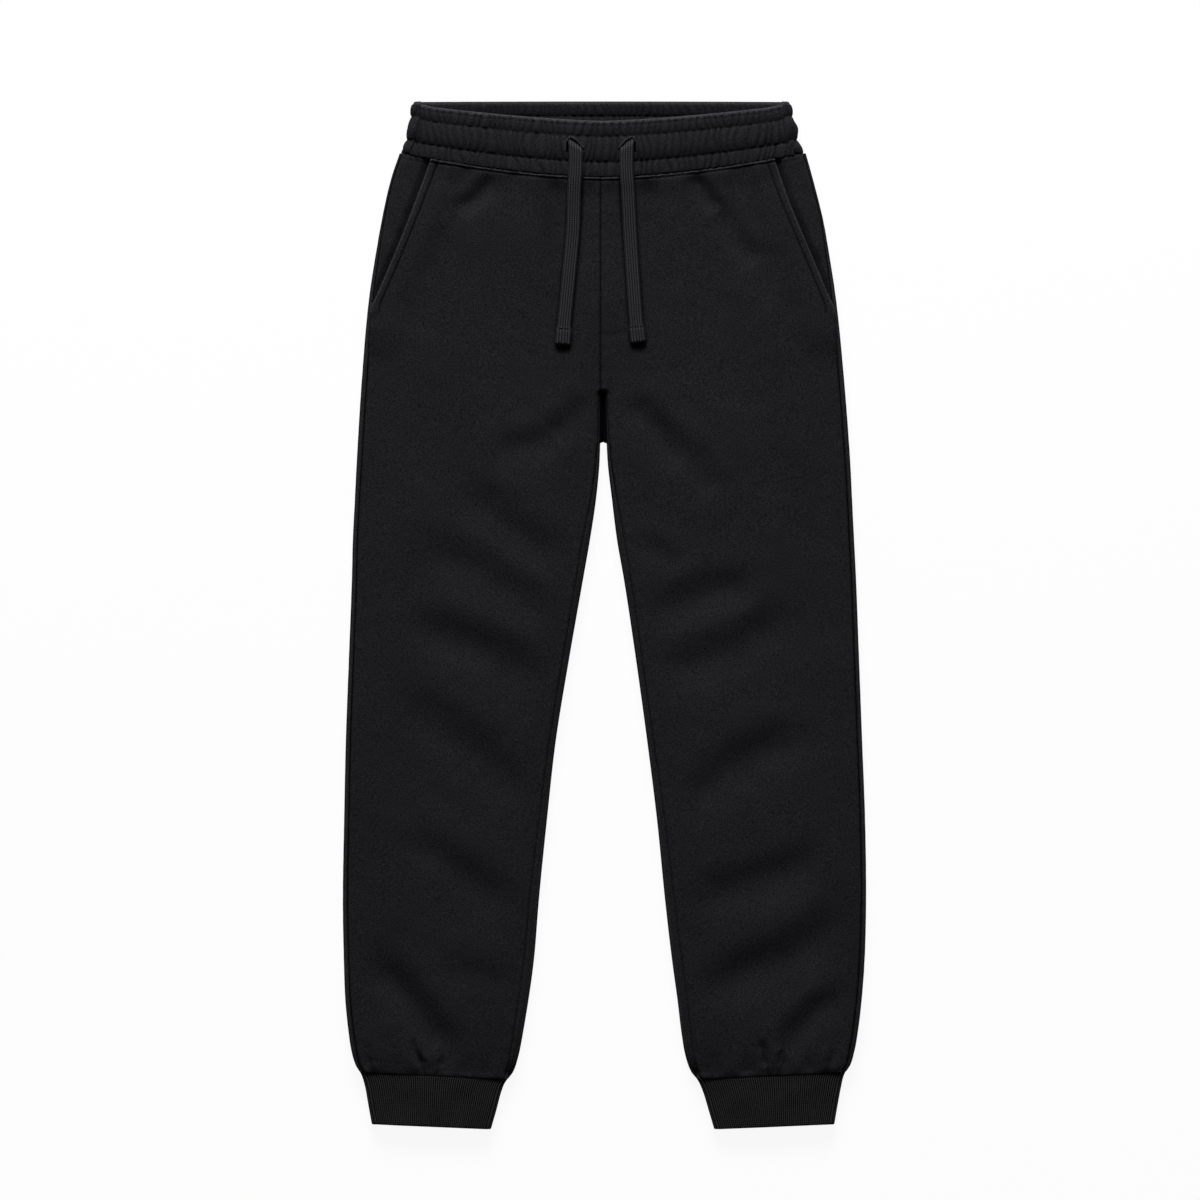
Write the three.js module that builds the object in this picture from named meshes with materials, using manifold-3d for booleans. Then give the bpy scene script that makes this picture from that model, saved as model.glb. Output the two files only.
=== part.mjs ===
// Jogger sweatpants lying flat on their back, front side up.
//
// Millimetres. +Y runs up to the waist, +Z is up, and +X runs to the wearer's left leg, so the
// wearer's right leg is at -X. The origin is on the surface they lie on, under the middle of the
// whole outline. Distances called "out" are measured from the X = 0 line towards that side's
// outer edge, so the same functions make the right and the left half.
import * as THREE from "three";
import Module from "manifold-3d";

const { lerp, clamp, smoothstep } = THREE.MathUtils;

// ---- driving dimensions ----

const SEAM_GAP = 0.3; // between two pieces that are sewn together
const CLOTH = 2; // brushed fleece
const BAND_WALL = 4; // fleece doubled over elastic
const CUFF_WALL = 3; // rib knit, doubled
const EDGE = 7; // radius of the folded edge down each side of a leg
const SWELL = 62; // how far in from an edge the cloth reaches its full height

const WAIST_SEAM = 461.5; // Y of the seam under the band, at the two sides
const WAIST_SEAM_DIP = 24; // how far that seam drops at the centre front
const WAIST_MIDDLE = -2.4; // X of the middle of the band
const WAIST_HALF = 200.6; // half the width at the band's seam

const BAND_TOP = 511; // Y of the band's top edge, at the two sides
const BAND_TOP_DIP = 17.5; // drop of the front top edge at its middle
const BAND_BACK_RISE = 2.5; // the back top edge bows up by this
const BAND_EDGE = 8; // radius of the band at its two sides
const BAND_HEIGHT = 19; // top of the front layer of the band, between its bulges

const CROTCH_FRONT = 220; // Y where the two fronts part
const CROTCH_BACK = 172; // Y of the fold under the crotch, where the backs part
const CENTRE_FRONT = -4; // X of the centre front seam
const CENTRE_BACK = -1.5; // X of the centre back seam

const POCKET_BOTTOM = 308; // Y where the slant pocket meets the side seam
const POCKET_LAP = 12; // how far the facing reaches under the front
const POCKET_LIFT = CLOTH + 0.5; // the front stands this much proud where it lies on the facing

const CUFF_SEAM = -456; // Y of the cuff seam at the outer edge
const CUFF_SEAM_SLANT = 7; // the cuff seam is lower by this at the inner edge
const CUFF_HEM = -508.9; // Y of the cuff's open end at the outer edge
const CUFF_HEM_SLANT = 5.1;
const CUFF_EDGE = 5.5;
const CUFF_HEIGHT = 13;

const CORD_WIDTH = 13;
const CORD_THICK = 2.4;
const CORD_STEPS = 48;
const CORD_CORNER = 0.7; // cut off each corner of its section
const CORD_CLEAR = 1; // above the facets of what it lies on
const CORD_TIP = 17; // length of the folded and stitched end
const CORD_TIP_WIDTH = CORD_WIDTH + 1.6;
const CORD_TIP_THICK = CORD_THICK + 1.4;
const CORD_RISE = 4.5; // a cord has come out of its slit and turned down within this length
const SLIT_WIDTH = 15;
const SLIT_HEIGHT = 7;
const SLIT_FLOOR = BAND_WALL + 6; // the slit goes down to this height, through the front layer only
const GATHER_HEIGHT = 3; // the band's gathers stand up to this much over BAND_HEIGHT

const SIDES = [
  { name: "right", sign: -1 },
  { name: "left", sign: 1 },
];

// Rows of numbers under named columns.
const table = (columns, rows) => (
  rows.map((row) => Object.fromEntries(columns.map((column, k) => [column, row[k]])))
);

// One row for each section, from the waist seam down to the cuff seam. Outer and inner are the
// distances out to a leg's folded edges, sideSeam and inseam are how far in from those edges the
// seams lie, and height is the top of the crown.
const SECTIONS = table(
  ["y", "rightOuter", "rightInner", "leftOuter", "leftInner", "sideSeam", "inseam", "height"],
  [
    [462, 203.5, 4.5, 199.0, 1.5, 2.0, 0.8, 17],
    [435, 212.5, 4.5, 206.5, 1.5, 2.0, 0.8, 17.5],
    [395, 222.5, 4.5, 217.5, 1.5, 2.0, 0.8, 18],
    [355, 229.5, 4.5, 225.5, 1.5, 3.0, 0.8, 18],
    [315, 235.5, 4.5, 231.5, 1.5, 4.0, 0.8, 18],
    [235, 242.5, 4.5, 239.5, 1.5, 5.0, 0.8, 18],
    [155, 247.5, 4.8, 245.5, 3.0, 5.0, 3.0, 18],
    [115, 249.5, 8.5, 247.5, 7.5, 4.5, 5.0, 18],
    [75, 251.5, 14.5, 249.5, 12.5, 4.5, 7.0, 18],
    [35, 252.5, 21.5, 251.5, 19.5, 4.5, 6.5, 18],
    [-45, 255.5, 35.5, 254.5, 31.5, 4.5, 6.0, 17.5],
    [-125, 258.5, 48.5, 257.5, 42.5, 4.5, 6.0, 17.5],
    [-205, 260.2, 57.5, 260.5, 52.5, 4.5, 7.5, 17.5],
    [-285, 261.5, 65.5, 261.5, 60.5, 4.5, 9.0, 17],
    [-345, 260.5, 70.5, 260.0, 67.5, 5.0, 9.5, 17],
    [-385, 259.0, 76.0, 257.0, 73.0, 5.0, 9.5, 17],
    [-415, 256.0, 81.5, 253.5, 77.0, 5.0, 9.0, 17],
    [-435, 253.0, 86.0, 250.0, 81.0, 5.0, 8.0, 16.5],
    [-450, 248.5, 91.5, 245.5, 87.0, 4.0, 6.0, 15.2],
    [-456, 245.0, 96.0, 241.5, 92.0, 3.5, 4.0, 14.4],
  ],
);

// How far out the folded edge of each slant pocket lies.
const POCKET_EDGE = table(
  ["y", "right", "left"],
  [
    [462, 170.5, 167.0],
    [415, 188.0, 183.5],
    [360, 209.7, 206.3],
    [POCKET_BOTTOM, 232.2, 228.2],
  ],
);

// The largest folds of each leg: soft troughs between two points, with their depth and half width.
const FOLDS = table(
  ["x1", "y1", "x2", "y2", "depth", "width"],
  [
    [-15, 214, -106, 164, 3.0, 15],
    [-134, 128, -42, 65, 3.2, 17],
    [-167, 75, -51, 12, 3.4, 17],
    [-181, 5, -63, -56, 4.2, 17],
    [-181, -75, -70, -180, 3.8, 18],
    [-181, -213, -93, -287, 3.2, 17],
    [-223, -343, -140, -427, 4.2, 16],
    [29, 217, 117, 133, 3.2, 15],
    [46, 12, 140, 40, 3.4, 17],
    [56, -49, 177, 2, 3.6, 17],
    [78, -178, 186, -105, 3.8, 18],
    [92, -280, 204, -231, 3.2, 17],
    [92, -374, 223, -299, 4.0, 17],
    [172, -427, 232, -371, 3.2, 15],
    [92, 440, 160, 355, 2.4, 14],
    [-114, 440, -145, 408, 2.4, 12],
  ],
);

// Rings of the waistband from its seam (v = 0) to its top edge (v = 1): how far out its sides
// reach, and how far the gathers bulge between the two rows of stitches at v = 0.30 and v = 0.75.
const BAND_RINGS = table(
  ["v", "right", "left", "bulge"],
  [
    [0.0, 203.0, 198.2, 0.0],
    [0.15, 201.5, 196.5, 2.0],
    [0.3, 198.6, 192.6, 0.0],
    [0.52, 198.0, 192.8, 3.0],
    [0.75, 193.6, 187.6, 0.0],
    [0.88, 193.2, 187.2, 1.8],
    [1.0, 191.4, 185.4, 0.4],
  ],
);

// Rings of a cuff from its seam (w = 0) to its open end (w = 1).
const CUFF_RINGS = table(
  ["w", "rightOuter", "rightInner", "leftOuter", "leftInner"],
  [
    [0.0, 243.5, 97.0, 239.8, 92.8],
    [0.13, 240.0, 101.5, 236.6, 96.6],
    [0.32, 237.2, 105.0, 234.6, 100.4],
    [0.65, 234.6, 109.0, 231.6, 105.0],
    [1.0, 231.2, 114.2, 228.6, 110.4],
  ],
);

// Where each cord end leaves its slit, and the middle line it follows down the front.
const CORDS = [
  {
    side: "right",
    slit: [-29, 474.5],
    line: [
      [-29, 462], [-29.6, 445], [-30.2, 425], [-31.5, 383], [-35.2, 340], [-39.5, 290], [-40.6, 272],
    ],
  },
  {
    side: "left",
    slit: [22.5, 475],
    line: [
      [22.5, 462], [22.8, 445], [23.4, 425], [25.5, 383], [28.6, 340], [32.5, 290], [34.4, 274],
    ],
  },
];

const COLOURS = { fleece: 0x1f1f21, facing: 0x212123, band: 0x1f1f21, rib: 0x18181a, cord: 0x2e2e30 };

// ---- reading the tables ----

// A smooth curve through one column of a table whose rows run down (or up) by the given key.
function read(rows, column, at, key = "y") {
  const down = rows[0][key] > rows[rows.length - 1][key];
  const last = rows.length - 2;
  let i = 0;
  while (i < last && (down ? at < rows[i + 1][key] : at > rows[i + 1][key])) i++;
  const slope = (a, b) => (rows[b][column] - rows[a][column]) / (rows[b][key] - rows[a][key]);
  const span = rows[i + 1][key] - rows[i][key];
  const t = clamp((at - rows[i][key]) / span, 0, 1);
  const here = slope(i, i + 1);
  const before = i > 0 ? (slope(i - 1, i) + here) / 2 : here;
  const after = i < last ? (here + slope(i + 1, i + 2)) / 2 : here;
  const t2 = t * t;
  const t3 = t2 * t;
  return (2 * t3 - 3 * t2 + 1) * rows[i][column] + (t3 - 2 * t2 + t) * span * before
    + (3 * t2 - 2 * t3) * rows[i + 1][column] + (t3 - t2) * span * after;
}

// Values from the first stop to the last, with the given number of even steps between each two.
function stations(stops, steps) {
  const out = [stops[0]];
  steps.forEach((n, k) => {
    for (let j = 1; j <= n; j++) out.push(lerp(stops[k], stops[k + 1], j / n));
  });
  return out;
}

// ---- the form of the laid trousers ----

const roll = (d, radius) => Math.sqrt(1 - (1 - clamp(d / radius, 0, 1)) ** 2);
const swell = (d) => Math.sin((Math.PI / 2) * clamp(d / SWELL, 0, 1));
// 1 in the middle of the waist and 0 at its two sides
const bow = (x) => Math.max(0, 1 - ((x - WAIST_MIDDLE) / WAIST_HALF) ** 2);

function leg(side, y) {
  return {
    outer: read(SECTIONS, `${side.name}Outer`, y),
    inner: read(SECTIONS, `${side.name}Inner`, y),
    sideSeam: read(SECTIONS, "sideSeam", y),
    inseam: read(SECTIONS, "inseam", y),
    height: read(SECTIONS, "height", y),
  };
}

function foldDepth(x, y) {
  let depth = 0;
  for (const f of FOLDS) {
    const dx = f.x2 - f.x1;
    const dy = f.y2 - f.y1;
    const along = ((x - f.x1) * dx + (y - f.y1) * dy) / (dx * dx + dy * dy);
    const s = clamp(along, 0, 1);
    const away = Math.hypot(x - f.x1 - s * dx, y - f.y1 - s * dy);
    const fade = smoothstep(s, -0.1, 0.25) * (1 - smoothstep(s, 0.75, 1.1));
    depth = Math.max(depth, f.depth * fade * Math.exp(-((away / f.width) ** 2)));
  }
  return depth;
}

// Height of the upper layer: rolled at the leg's edges, crowned between them, with its folds.
function topHeight(side, out, y) {
  const s = leg(side, y);
  const joined = smoothstep(y, CROTCH_FRONT, CROTCH_FRONT + 12);
  const filled = smoothstep(y, CROTCH_FRONT - 20, CROTCH_FRONT + 110);
  const rolled = roll(s.outer - out, EDGE) * lerp(roll(out - s.inner, EDGE), 1, joined);
  const crowned = swell(s.outer - out) * lerp(swell(out - s.inner), 1, filled);
  return EDGE + EDGE * rolled + (s.height - 2 * EDGE - foldDepth(side.sign * out, y)) * crowned;
}

// The rows of a panel run level, but bow down to the waist seam and slant to the cuff seam.
function rowY(side, out, y, onFront) {
  const s = leg(side, y);
  const across = clamp((s.outer - out) / (s.outer - s.inner), 0, 1);
  const slant = CUFF_SEAM_SLANT * across * (1 - smoothstep(y, CUFF_SEAM, CUFF_SEAM + 80));
  if (!onFront) return y - slant;
  const dip = WAIST_SEAM_DIP * bow(side.sign * out) * smoothstep(y, WAIST_SEAM - 130, WAIST_SEAM);
  return y - slant - dip;
}

// A point of the upper layer with its direction out of the cloth, in the plane of the section.
function onTop(side, out, y, lift = 0) {
  const at = rowY(side, out, y, true);
  const step = 0.2;
  const slope = (topHeight(side, out + step, at) - topHeight(side, out - step, at)) / (2 * step);
  const size = Math.hypot(slope, 1);
  const normal = new THREE.Vector3((-slope / size) * side.sign, 0, 1 / size);
  const point = new THREE.Vector3(side.sign * out, at, topHeight(side, out, at));
  return { point: point.addScaledVector(normal, lift), normal };
}

function onUnder(side, out, y, z, normalOut, normalZ) {
  const point = new THREE.Vector3(side.sign * out, rowY(side, out, y, false), z);
  return { point, normal: new THREE.Vector3(side.sign * normalOut, 0, normalZ) };
}

// ---- closed walls from grids of such points ----

function closedMesh(positions, triangles) {
  const volume = triangles.reduce((sum, [a, b, c]) => (
    sum + positions[a].dot(positions[b].clone().cross(positions[c]))
  ), 0);
  const faces = volume > 0 ? triangles : triangles.map(([a, b, c]) => [a, c, b]);
  const geometry = new THREE.BufferGeometry();
  const flat = positions.flatMap((p) => p.toArray());
  geometry.setAttribute("position", new THREE.Float32BufferAttribute(flat, 3));
  geometry.setIndex(faces.flat());
  geometry.computeVertexNormals();
  return geometry;
}

// Rows of outer points become a wall of the given thickness. A ring's rows close on themselves.
function wall(rows, thickness, isRing = false) {
  const columns = rows[0].length;
  const outer = rows.flat().map(({ point }) => point);
  const inner = rows.flat().map(({ point, normal }) => point.clone().addScaledVector(normal, -thickness));
  const triangles = [];
  const index = (layer, j, i) => layer * outer.length + j * columns + (i % columns);
  const quad = (a, b, c, d) => triangles.push([a, b, c], [a, c, d]);
  const spans = isRing ? columns : columns - 1;
  const lastRow = rows.length - 1;
  for (let j = 0; j < lastRow; j++) {
    for (let i = 0; i < spans; i++) {
      quad(index(0, j, i), index(0, j, i + 1), index(0, j + 1, i + 1), index(0, j + 1, i));
      quad(index(1, j, i), index(1, j + 1, i), index(1, j + 1, i + 1), index(1, j, i + 1));
    }
    if (isRing) continue;
    quad(index(0, j + 1, 0), index(1, j + 1, 0), index(1, j, 0), index(0, j, 0));
    quad(index(0, j, spans), index(1, j, spans), index(1, j + 1, spans), index(0, j + 1, spans));
  }
  for (let i = 0; i < spans; i++) {
    quad(index(0, 0, i), index(1, 0, i), index(1, 0, i + 1), index(0, 0, i + 1));
    quad(index(0, lastRow, i + 1), index(1, lastRow, i + 1), index(1, lastRow, i), index(0, lastRow, i));
  }
  return closedMesh([...outer, ...inner], triangles);
}

// ---- joining and cutting ----

const wasm = await Module();
wasm.setup();

function toSolid(geometry) {
  return new wasm.Manifold(new wasm.Mesh({
    numProp: 3,
    vertProperties: new Float32Array(geometry.attributes.position.array),
    triVerts: new Uint32Array(geometry.index.array),
  }));
}

function toGeometry(solid) {
  const { numProp, vertProperties, triVerts } = solid.getMesh();
  const positions = [];
  for (let i = 0; i < vertProperties.length; i += numProp) {
    positions.push(...vertProperties.slice(i, i + 3));
  }
  const geometry = new THREE.BufferGeometry();
  geometry.setAttribute("position", new THREE.Float32BufferAttribute(positions, 3));
  geometry.setIndex(Array.from(triVerts));
  geometry.computeVertexNormals();
  return geometry;
}

// ---- the panels ----

// Rows are closer together at the pocket, the crotch and the cuff.
const PANEL_ROWS = stations(
  [WAIST_SEAM - SEAM_GAP, POCKET_BOTTOM, 232, CROTCH_FRONT, CROTCH_BACK + 2, 160, -365, CUFF_SEAM],
  [6, 3, 1, 3, 1, 12, 4],
);

const pocketOut = (side, y) => read(POCKET_EDGE, side.name, y);
const sideSeamOut = (side, y) => leg(side, y).outer - leg(side, y).sideSeam - SEAM_GAP / 2;

function frontInner(side, y) {
  if (y > CROTCH_FRONT) return side.sign * CENTRE_FRONT + SEAM_GAP / 2;
  return leg(side, y).inner + leg(side, y).inseam + SEAM_GAP / 2;
}

function frontOuter(side, y) {
  if (y <= POCKET_BOTTOM) return sideSeamOut(side, y);
  const edge = pocketOut(side, y);
  return pocketOut(side, rowY(side, edge, y, true));
}

// The front is lifted off the facing along the pocket edge and settles again away from it.
function pocketLift(fromEdge, y) {
  const acrossFade = 1 - smoothstep(fromEdge, POCKET_LAP + 4, POCKET_LAP + 34);
  return POCKET_LIFT * acrossFade * smoothstep(y, POCKET_BOTTOM - 60, POCKET_BOTTOM - 26);
}

function frontPanel(side) {
  const outerSteps = [0, 4, POCKET_LAP + 2];
  const innerShares = [0.16, 0.32, 0.48, 0.64, 0.8, 0.92, 1];
  const rows = PANEL_ROWS.map((y) => {
    const outer = frontOuter(side, y);
    const inner = frontInner(side, y);
    const rest = outer - outerSteps[outerSteps.length - 1];
    const nearOuter = outerSteps.map((step) => outer - step);
    const outs = [...nearOuter, ...innerShares.map((t) => lerp(rest, inner, t))];
    return outs.map((out) => onTop(side, out, y, pocketLift(outer - out, y)));
  });
  return wall(rows, CLOTH);
}

// The back starts at the side seam, goes round the outer edge and along the underside, and then
// ends at the centre back seam, or goes up round the leg's inner edge to the inseam.
function backPanel(side) {
  const rows = PANEL_ROWS.map((y) => {
    const s = leg(side, y);
    const seam = s.sideSeam - SEAM_GAP / 2;
    const centre = side.sign * CENTRE_BACK + SEAM_GAP / 2;
    const turn = EDGE * (1 - Math.SQRT1_2);
    const outerEdge = [
      onTop(side, s.outer - seam, y),
      onTop(side, s.outer - seam * 0.4, y),
      onUnder(side, s.outer, y, EDGE, 1, 0),
      onUnder(side, s.outer - turn, y, turn, Math.SQRT1_2, -Math.SQRT1_2),
    ];
    const flat = (from, to) => stations([from, to], [3]).map((out) => onUnder(side, out, y, 0, 0, -1));
    if (y > CROTCH_FRONT + 1) {
      const end = [1.2, 0.8, 0.4, 0].map((t) => onUnder(side, centre + t * EDGE, y, 0, 0, -1));
      return [...outerEdge, ...flat(s.outer - EDGE, centre + EDGE * 2), ...end];
    }
    const inseam = s.inseam - SEAM_GAP / 2;
    if (y > CROTCH_BACK) {
      const lean = lerp(centre, s.inner, 0.5);
      return [...outerEdge, ...flat(s.outer - EDGE, centre + EDGE), onUnder(side, centre, y, 0, -1, -1),
        onUnder(side, lean, y, EDGE * 0.5, -1, 0), onUnder(side, s.inner, y, EDGE, -1, 0),
        onTop(side, s.inner + inseam, y)];
    }
    return [...outerEdge, ...flat(s.outer - EDGE, s.inner + EDGE),
      onUnder(side, s.inner + turn, y, turn, -Math.SQRT1_2, -Math.SQRT1_2),
      onUnder(side, s.inner, y, EDGE, -1, 0), onTop(side, s.inner + inseam * 0.4, y),
      onTop(side, s.inner + inseam, y)];
  });
  return wall(rows, CLOTH);
}

// The facing lies level with the side seam and reaches under the lifted pocket edge.
function pocketFacing(side) {
  const facingRows = stations([WAIST_SEAM - SEAM_GAP, POCKET_BOTTOM, POCKET_BOTTOM - 8], [6, 1]);
  const rows = facingRows.map((y) => {
    const seam = sideSeamOut(side, y);
    const edge = Math.min(frontOuter(side, y), seam);
    const shown = [0, 0.45, 0.75, 0.9, 1].map((t) => lerp(edge - 4, seam, t));
    return [edge - POCKET_LAP, ...shown].map((out) => onTop(side, out, y));
  });
  return wall(rows, CLOTH);
}

// ---- the waistband ----

// A point of the band's front layer at X = x, in the ring with the given row of BAND_RINGS.
function bandFront(ring, x) {
  const seam = WAIST_SEAM - WAIST_SEAM_DIP * bow(x);
  const top = BAND_TOP - BAND_TOP_DIP * bow(x);
  const fromEnd = Math.min(x + ring.right, ring.left - x);
  const crown = (BAND_HEIGHT - 2 * BAND_EDGE + ring.bulge) * swell(fromEnd);
  return new THREE.Vector3(x, lerp(seam, top, ring.v), 2 * BAND_EDGE + crown);
}

function bandRing(ring) {
  const points = [];
  const frontShares = stations([0, 0.08, 0.92, 1], [1, 20, 1]);
  const backShares = stations([0, 1], [8]);
  const leftEnd = ring.left - BAND_EDGE;
  const rightEnd = -ring.right + BAND_EDGE;
  for (const t of frontShares) {
    points.push({ point: bandFront(ring, lerp(rightEnd, leftEnd, t)), normal: new THREE.Vector3(0, 0, 1) });
  }
  const edge = (middle, from) => {
    for (const degrees of [45, 0, -45].map((d) => from + d)) {
      const angle = THREE.MathUtils.degToRad(degrees);
      const normal = new THREE.Vector3(Math.cos(angle), 0, Math.sin(angle));
      const point = new THREE.Vector3(middle, lerp(WAIST_SEAM, BAND_TOP, ring.v), BAND_EDGE);
      points.push({ point: point.addScaledVector(normal, BAND_EDGE), normal });
    }
  };
  edge(leftEnd, 0);
  for (const t of backShares) {
    const x = lerp(leftEnd, rightEnd, t);
    const rise = BAND_BACK_RISE * 4 * t * (1 - t) * ring.v;
    const point = new THREE.Vector3(x, lerp(WAIST_SEAM, BAND_TOP, ring.v) + rise, 0);
    points.push({ point, normal: new THREE.Vector3(0, 0, -1) });
  }
  edge(rightEnd, 180);
  return points;
}

function waistband() {
  let solid = toSolid(wall(BAND_RINGS.map(bandRing), BAND_WALL, true));
  for (const { slit: [x, y] } of CORDS) {
    const hole = new THREE.BoxGeometry(SLIT_WIDTH, SLIT_HEIGHT, BAND_HEIGHT);
    hole.translate(x, y, SLIT_FLOOR + BAND_HEIGHT / 2);
    solid = solid.subtract(toSolid(weld(hole)));
  }
  return toGeometry(solid);
}

// ---- the cuffs ----

function cuff(side) {
  const rings = CUFF_RINGS.map((ring) => {
    const outer = ring[`${side.name}Outer`];
    const inner = ring[`${side.name}Inner`];
    const at = (out, z, normalOut, normalZ) => {
      const across = (outer - out) / (outer - inner);
      const top = CUFF_SEAM - SEAM_GAP - CUFF_SEAM_SLANT * across;
      const hem = CUFF_HEM - CUFF_HEM_SLANT * across;
      const point = new THREE.Vector3(side.sign * out, lerp(top, hem, ring.w), z);
      return { point, normal: new THREE.Vector3(side.sign * normalOut, 0, normalZ) };
    };
    const flatFrom = outer - CUFF_EDGE;
    const flatTo = inner + CUFF_EDGE;
    const points = [];
    for (const t of stations([0, 1], [7])) {
      const out = lerp(flatFrom, flatTo, t);
      const crown = (CUFF_HEIGHT - 2 * CUFF_EDGE) * Math.sin(Math.PI * t) ** 0.6;
      points.push(at(out, 2 * CUFF_EDGE + crown, 0, 1));
    }
    const edge = (middle, turns) => {
      for (const angle of turns.map(THREE.MathUtils.degToRad)) {
        const c = Math.cos(angle);
        const s = Math.sin(angle);
        points.push(at(middle + CUFF_EDGE * c, CUFF_EDGE + CUFF_EDGE * s, c, s));
      }
    };
    edge(flatTo, [135, 180, 225]);
    for (const t of stations([0, 1], [5])) points.push(at(lerp(flatTo, flatFrom, t), 0, 0, -1));
    edge(flatFrom, [-45, 0, 45]);
    return points;
  });
  return wall(rings, CUFF_WALL, true);
}

// ---- the drawcord ----

function weld(geometry) {
  const positions = geometry.attributes.position;
  const seen = new Map();
  const points = [];
  const indexOf = [];
  for (let i = 0; i < positions.count; i++) {
    const p = new THREE.Vector3().fromBufferAttribute(positions, i);
    const key = p.toArray().map((v) => Math.round(v * 1e4)).join();
    if (!seen.has(key)) {
      seen.set(key, points.length);
      points.push(p);
    }
    indexOf.push(seen.get(key));
  }
  const corners = geometry.index ? Array.from(geometry.index.array) : indexOf.map((_, i) => i);
  const triangles = [];
  for (let i = 0; i < corners.length; i += 3) {
    const face = [0, 1, 2].map((k) => indexOf[corners[i + k]]);
    if (new Set(face).size === 3) triangles.push(face);
  }
  return closedMesh(points, triangles);
}

const sideAt = (x) => (x < 0 ? SIDES[0] : SIDES[1]);

// Height of whatever a cord lies on at x, y: the band's bulges, or the front.
function underCord(x, y) {
  const seam = WAIST_SEAM - WAIST_SEAM_DIP * bow(x);
  if (y < seam - 3) return topHeight(sideAt(x), Math.abs(x), y);
  return BAND_HEIGHT + GATHER_HEIGHT;
}

function drawcord({ slit: [slitX, slitY], line }) {
  const clear = CORD_CLEAR + CORD_THICK / 2;
  const path = new THREE.CatmullRomCurve3([
    new THREE.Vector3(slitX, slitY, BAND_HEIGHT - 1),
    new THREE.Vector3(slitX, slitY - 0.4, BAND_HEIGHT + GATHER_HEIGHT - 0.4),
    new THREE.Vector3(slitX, slitY - CORD_RISE, BAND_HEIGHT + GATHER_HEIGHT + clear),
    ...line.map(([x, y]) => new THREE.Vector3(x, y, underCord(x, y) + clear)),
  ], false, "centripetal");
  const half = CORD_WIDTH / 2;
  const flat = CORD_THICK / 2;
  // the section's corners are cut, which leaves eight sides
  const section = new THREE.Shape([
    [half - CORD_CORNER, -flat], [half, -flat + CORD_CORNER], [half, flat - CORD_CORNER],
    [half - CORD_CORNER, flat], [-half + CORD_CORNER, flat], [-half, flat - CORD_CORNER],
    [-half, -flat + CORD_CORNER], [-half + CORD_CORNER, -flat],
  ].map(([across, through]) => new THREE.Vector2(across, through)));
  const sweep = { steps: CORD_STEPS, extrudePath: path, curveSegments: 1 };
  const tube = new THREE.ExtrudeGeometry(section, sweep);
  const end = path.getPoint(1);
  const back = path.getPoint(0.93);
  const tip = new THREE.BoxGeometry(CORD_TIP_WIDTH, CORD_TIP, CORD_TIP_THICK);
  tip.translate(0, CORD_TIP / 2, 0);
  tip.rotateZ(Math.atan2(end.x - back.x, back.y - end.y));
  tip.translate(end.x, end.y - 0.5, end.z + (CORD_TIP_THICK - CORD_THICK) / 2);
  return toGeometry(toSolid(weld(tube)).add(toSolid(weld(tip))));
}

// ---- the assembled garment ----

const garment = new THREE.Group();

function sew(name, geometry, color, roughness) {
  const cloth = new THREE.MeshStandardMaterial({ color, roughness, metalness: 0 });
  const mesh = new THREE.Mesh(geometry, cloth);
  mesh.name = name;
  garment.add(mesh);
}

for (const side of SIDES) {
  sew(`front_${side.name}`, frontPanel(side), COLOURS.fleece, 0.95);
  sew(`back_${side.name}`, backPanel(side), COLOURS.fleece, 0.95);
  sew(`pocket_facing_${side.name}`, pocketFacing(side), COLOURS.facing, 0.95);
  sew(`cuff_${side.name}`, cuff(side), COLOURS.rib, 0.95);
}
sew("waistband", waistband(), COLOURS.band, 0.95);
for (const cord of CORDS) sew(`drawcord_${cord.side}`, drawcord(cord), COLOURS.cord, 0.9);

export default garment;
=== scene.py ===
# %% [markdown]
# # Black fleece joggers, laid flat
# The real garment lies on its back on a white table, front side up. It is sewn from two fronts, two
# backs, two pocket facings, a gathered waistband, two rib cuffs and a flat drawcord. The lesson goes
# through them one by one. Each is a thin shell of cloth on the form that the solid model gives.

# %% Load the frame
import math
import bpy
import numpy as np
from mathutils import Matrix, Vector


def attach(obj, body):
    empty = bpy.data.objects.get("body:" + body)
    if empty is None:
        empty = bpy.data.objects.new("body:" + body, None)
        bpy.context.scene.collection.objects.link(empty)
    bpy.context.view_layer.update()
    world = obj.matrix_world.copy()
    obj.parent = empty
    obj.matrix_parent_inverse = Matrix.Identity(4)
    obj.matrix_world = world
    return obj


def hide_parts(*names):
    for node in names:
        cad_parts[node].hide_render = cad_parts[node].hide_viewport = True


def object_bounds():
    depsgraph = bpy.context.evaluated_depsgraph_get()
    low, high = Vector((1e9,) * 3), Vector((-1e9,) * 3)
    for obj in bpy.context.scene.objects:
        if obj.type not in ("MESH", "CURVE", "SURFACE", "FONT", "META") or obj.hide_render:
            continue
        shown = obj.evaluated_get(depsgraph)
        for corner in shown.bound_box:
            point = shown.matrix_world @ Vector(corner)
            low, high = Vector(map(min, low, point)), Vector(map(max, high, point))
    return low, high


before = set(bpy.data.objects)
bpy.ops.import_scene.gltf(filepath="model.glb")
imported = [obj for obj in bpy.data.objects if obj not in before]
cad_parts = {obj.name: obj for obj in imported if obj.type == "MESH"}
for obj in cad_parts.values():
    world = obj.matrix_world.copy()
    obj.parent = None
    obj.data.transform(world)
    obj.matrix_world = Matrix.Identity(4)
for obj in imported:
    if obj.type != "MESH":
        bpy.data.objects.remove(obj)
cad_box = [list(corner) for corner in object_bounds()]
MM = 0.001
print("frame:", len(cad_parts), "nodes, box", cad_box)

# %% [markdown]
# ## Camera, floor and light
# A flat lay is seen from straight above and from high up, so the two legs show no perspective. A
# broad soft light stands beyond the waist, low enough for each crease to have a light and a dark
# side. The table is a white light table, so the shadows on it stay pale.

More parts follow.
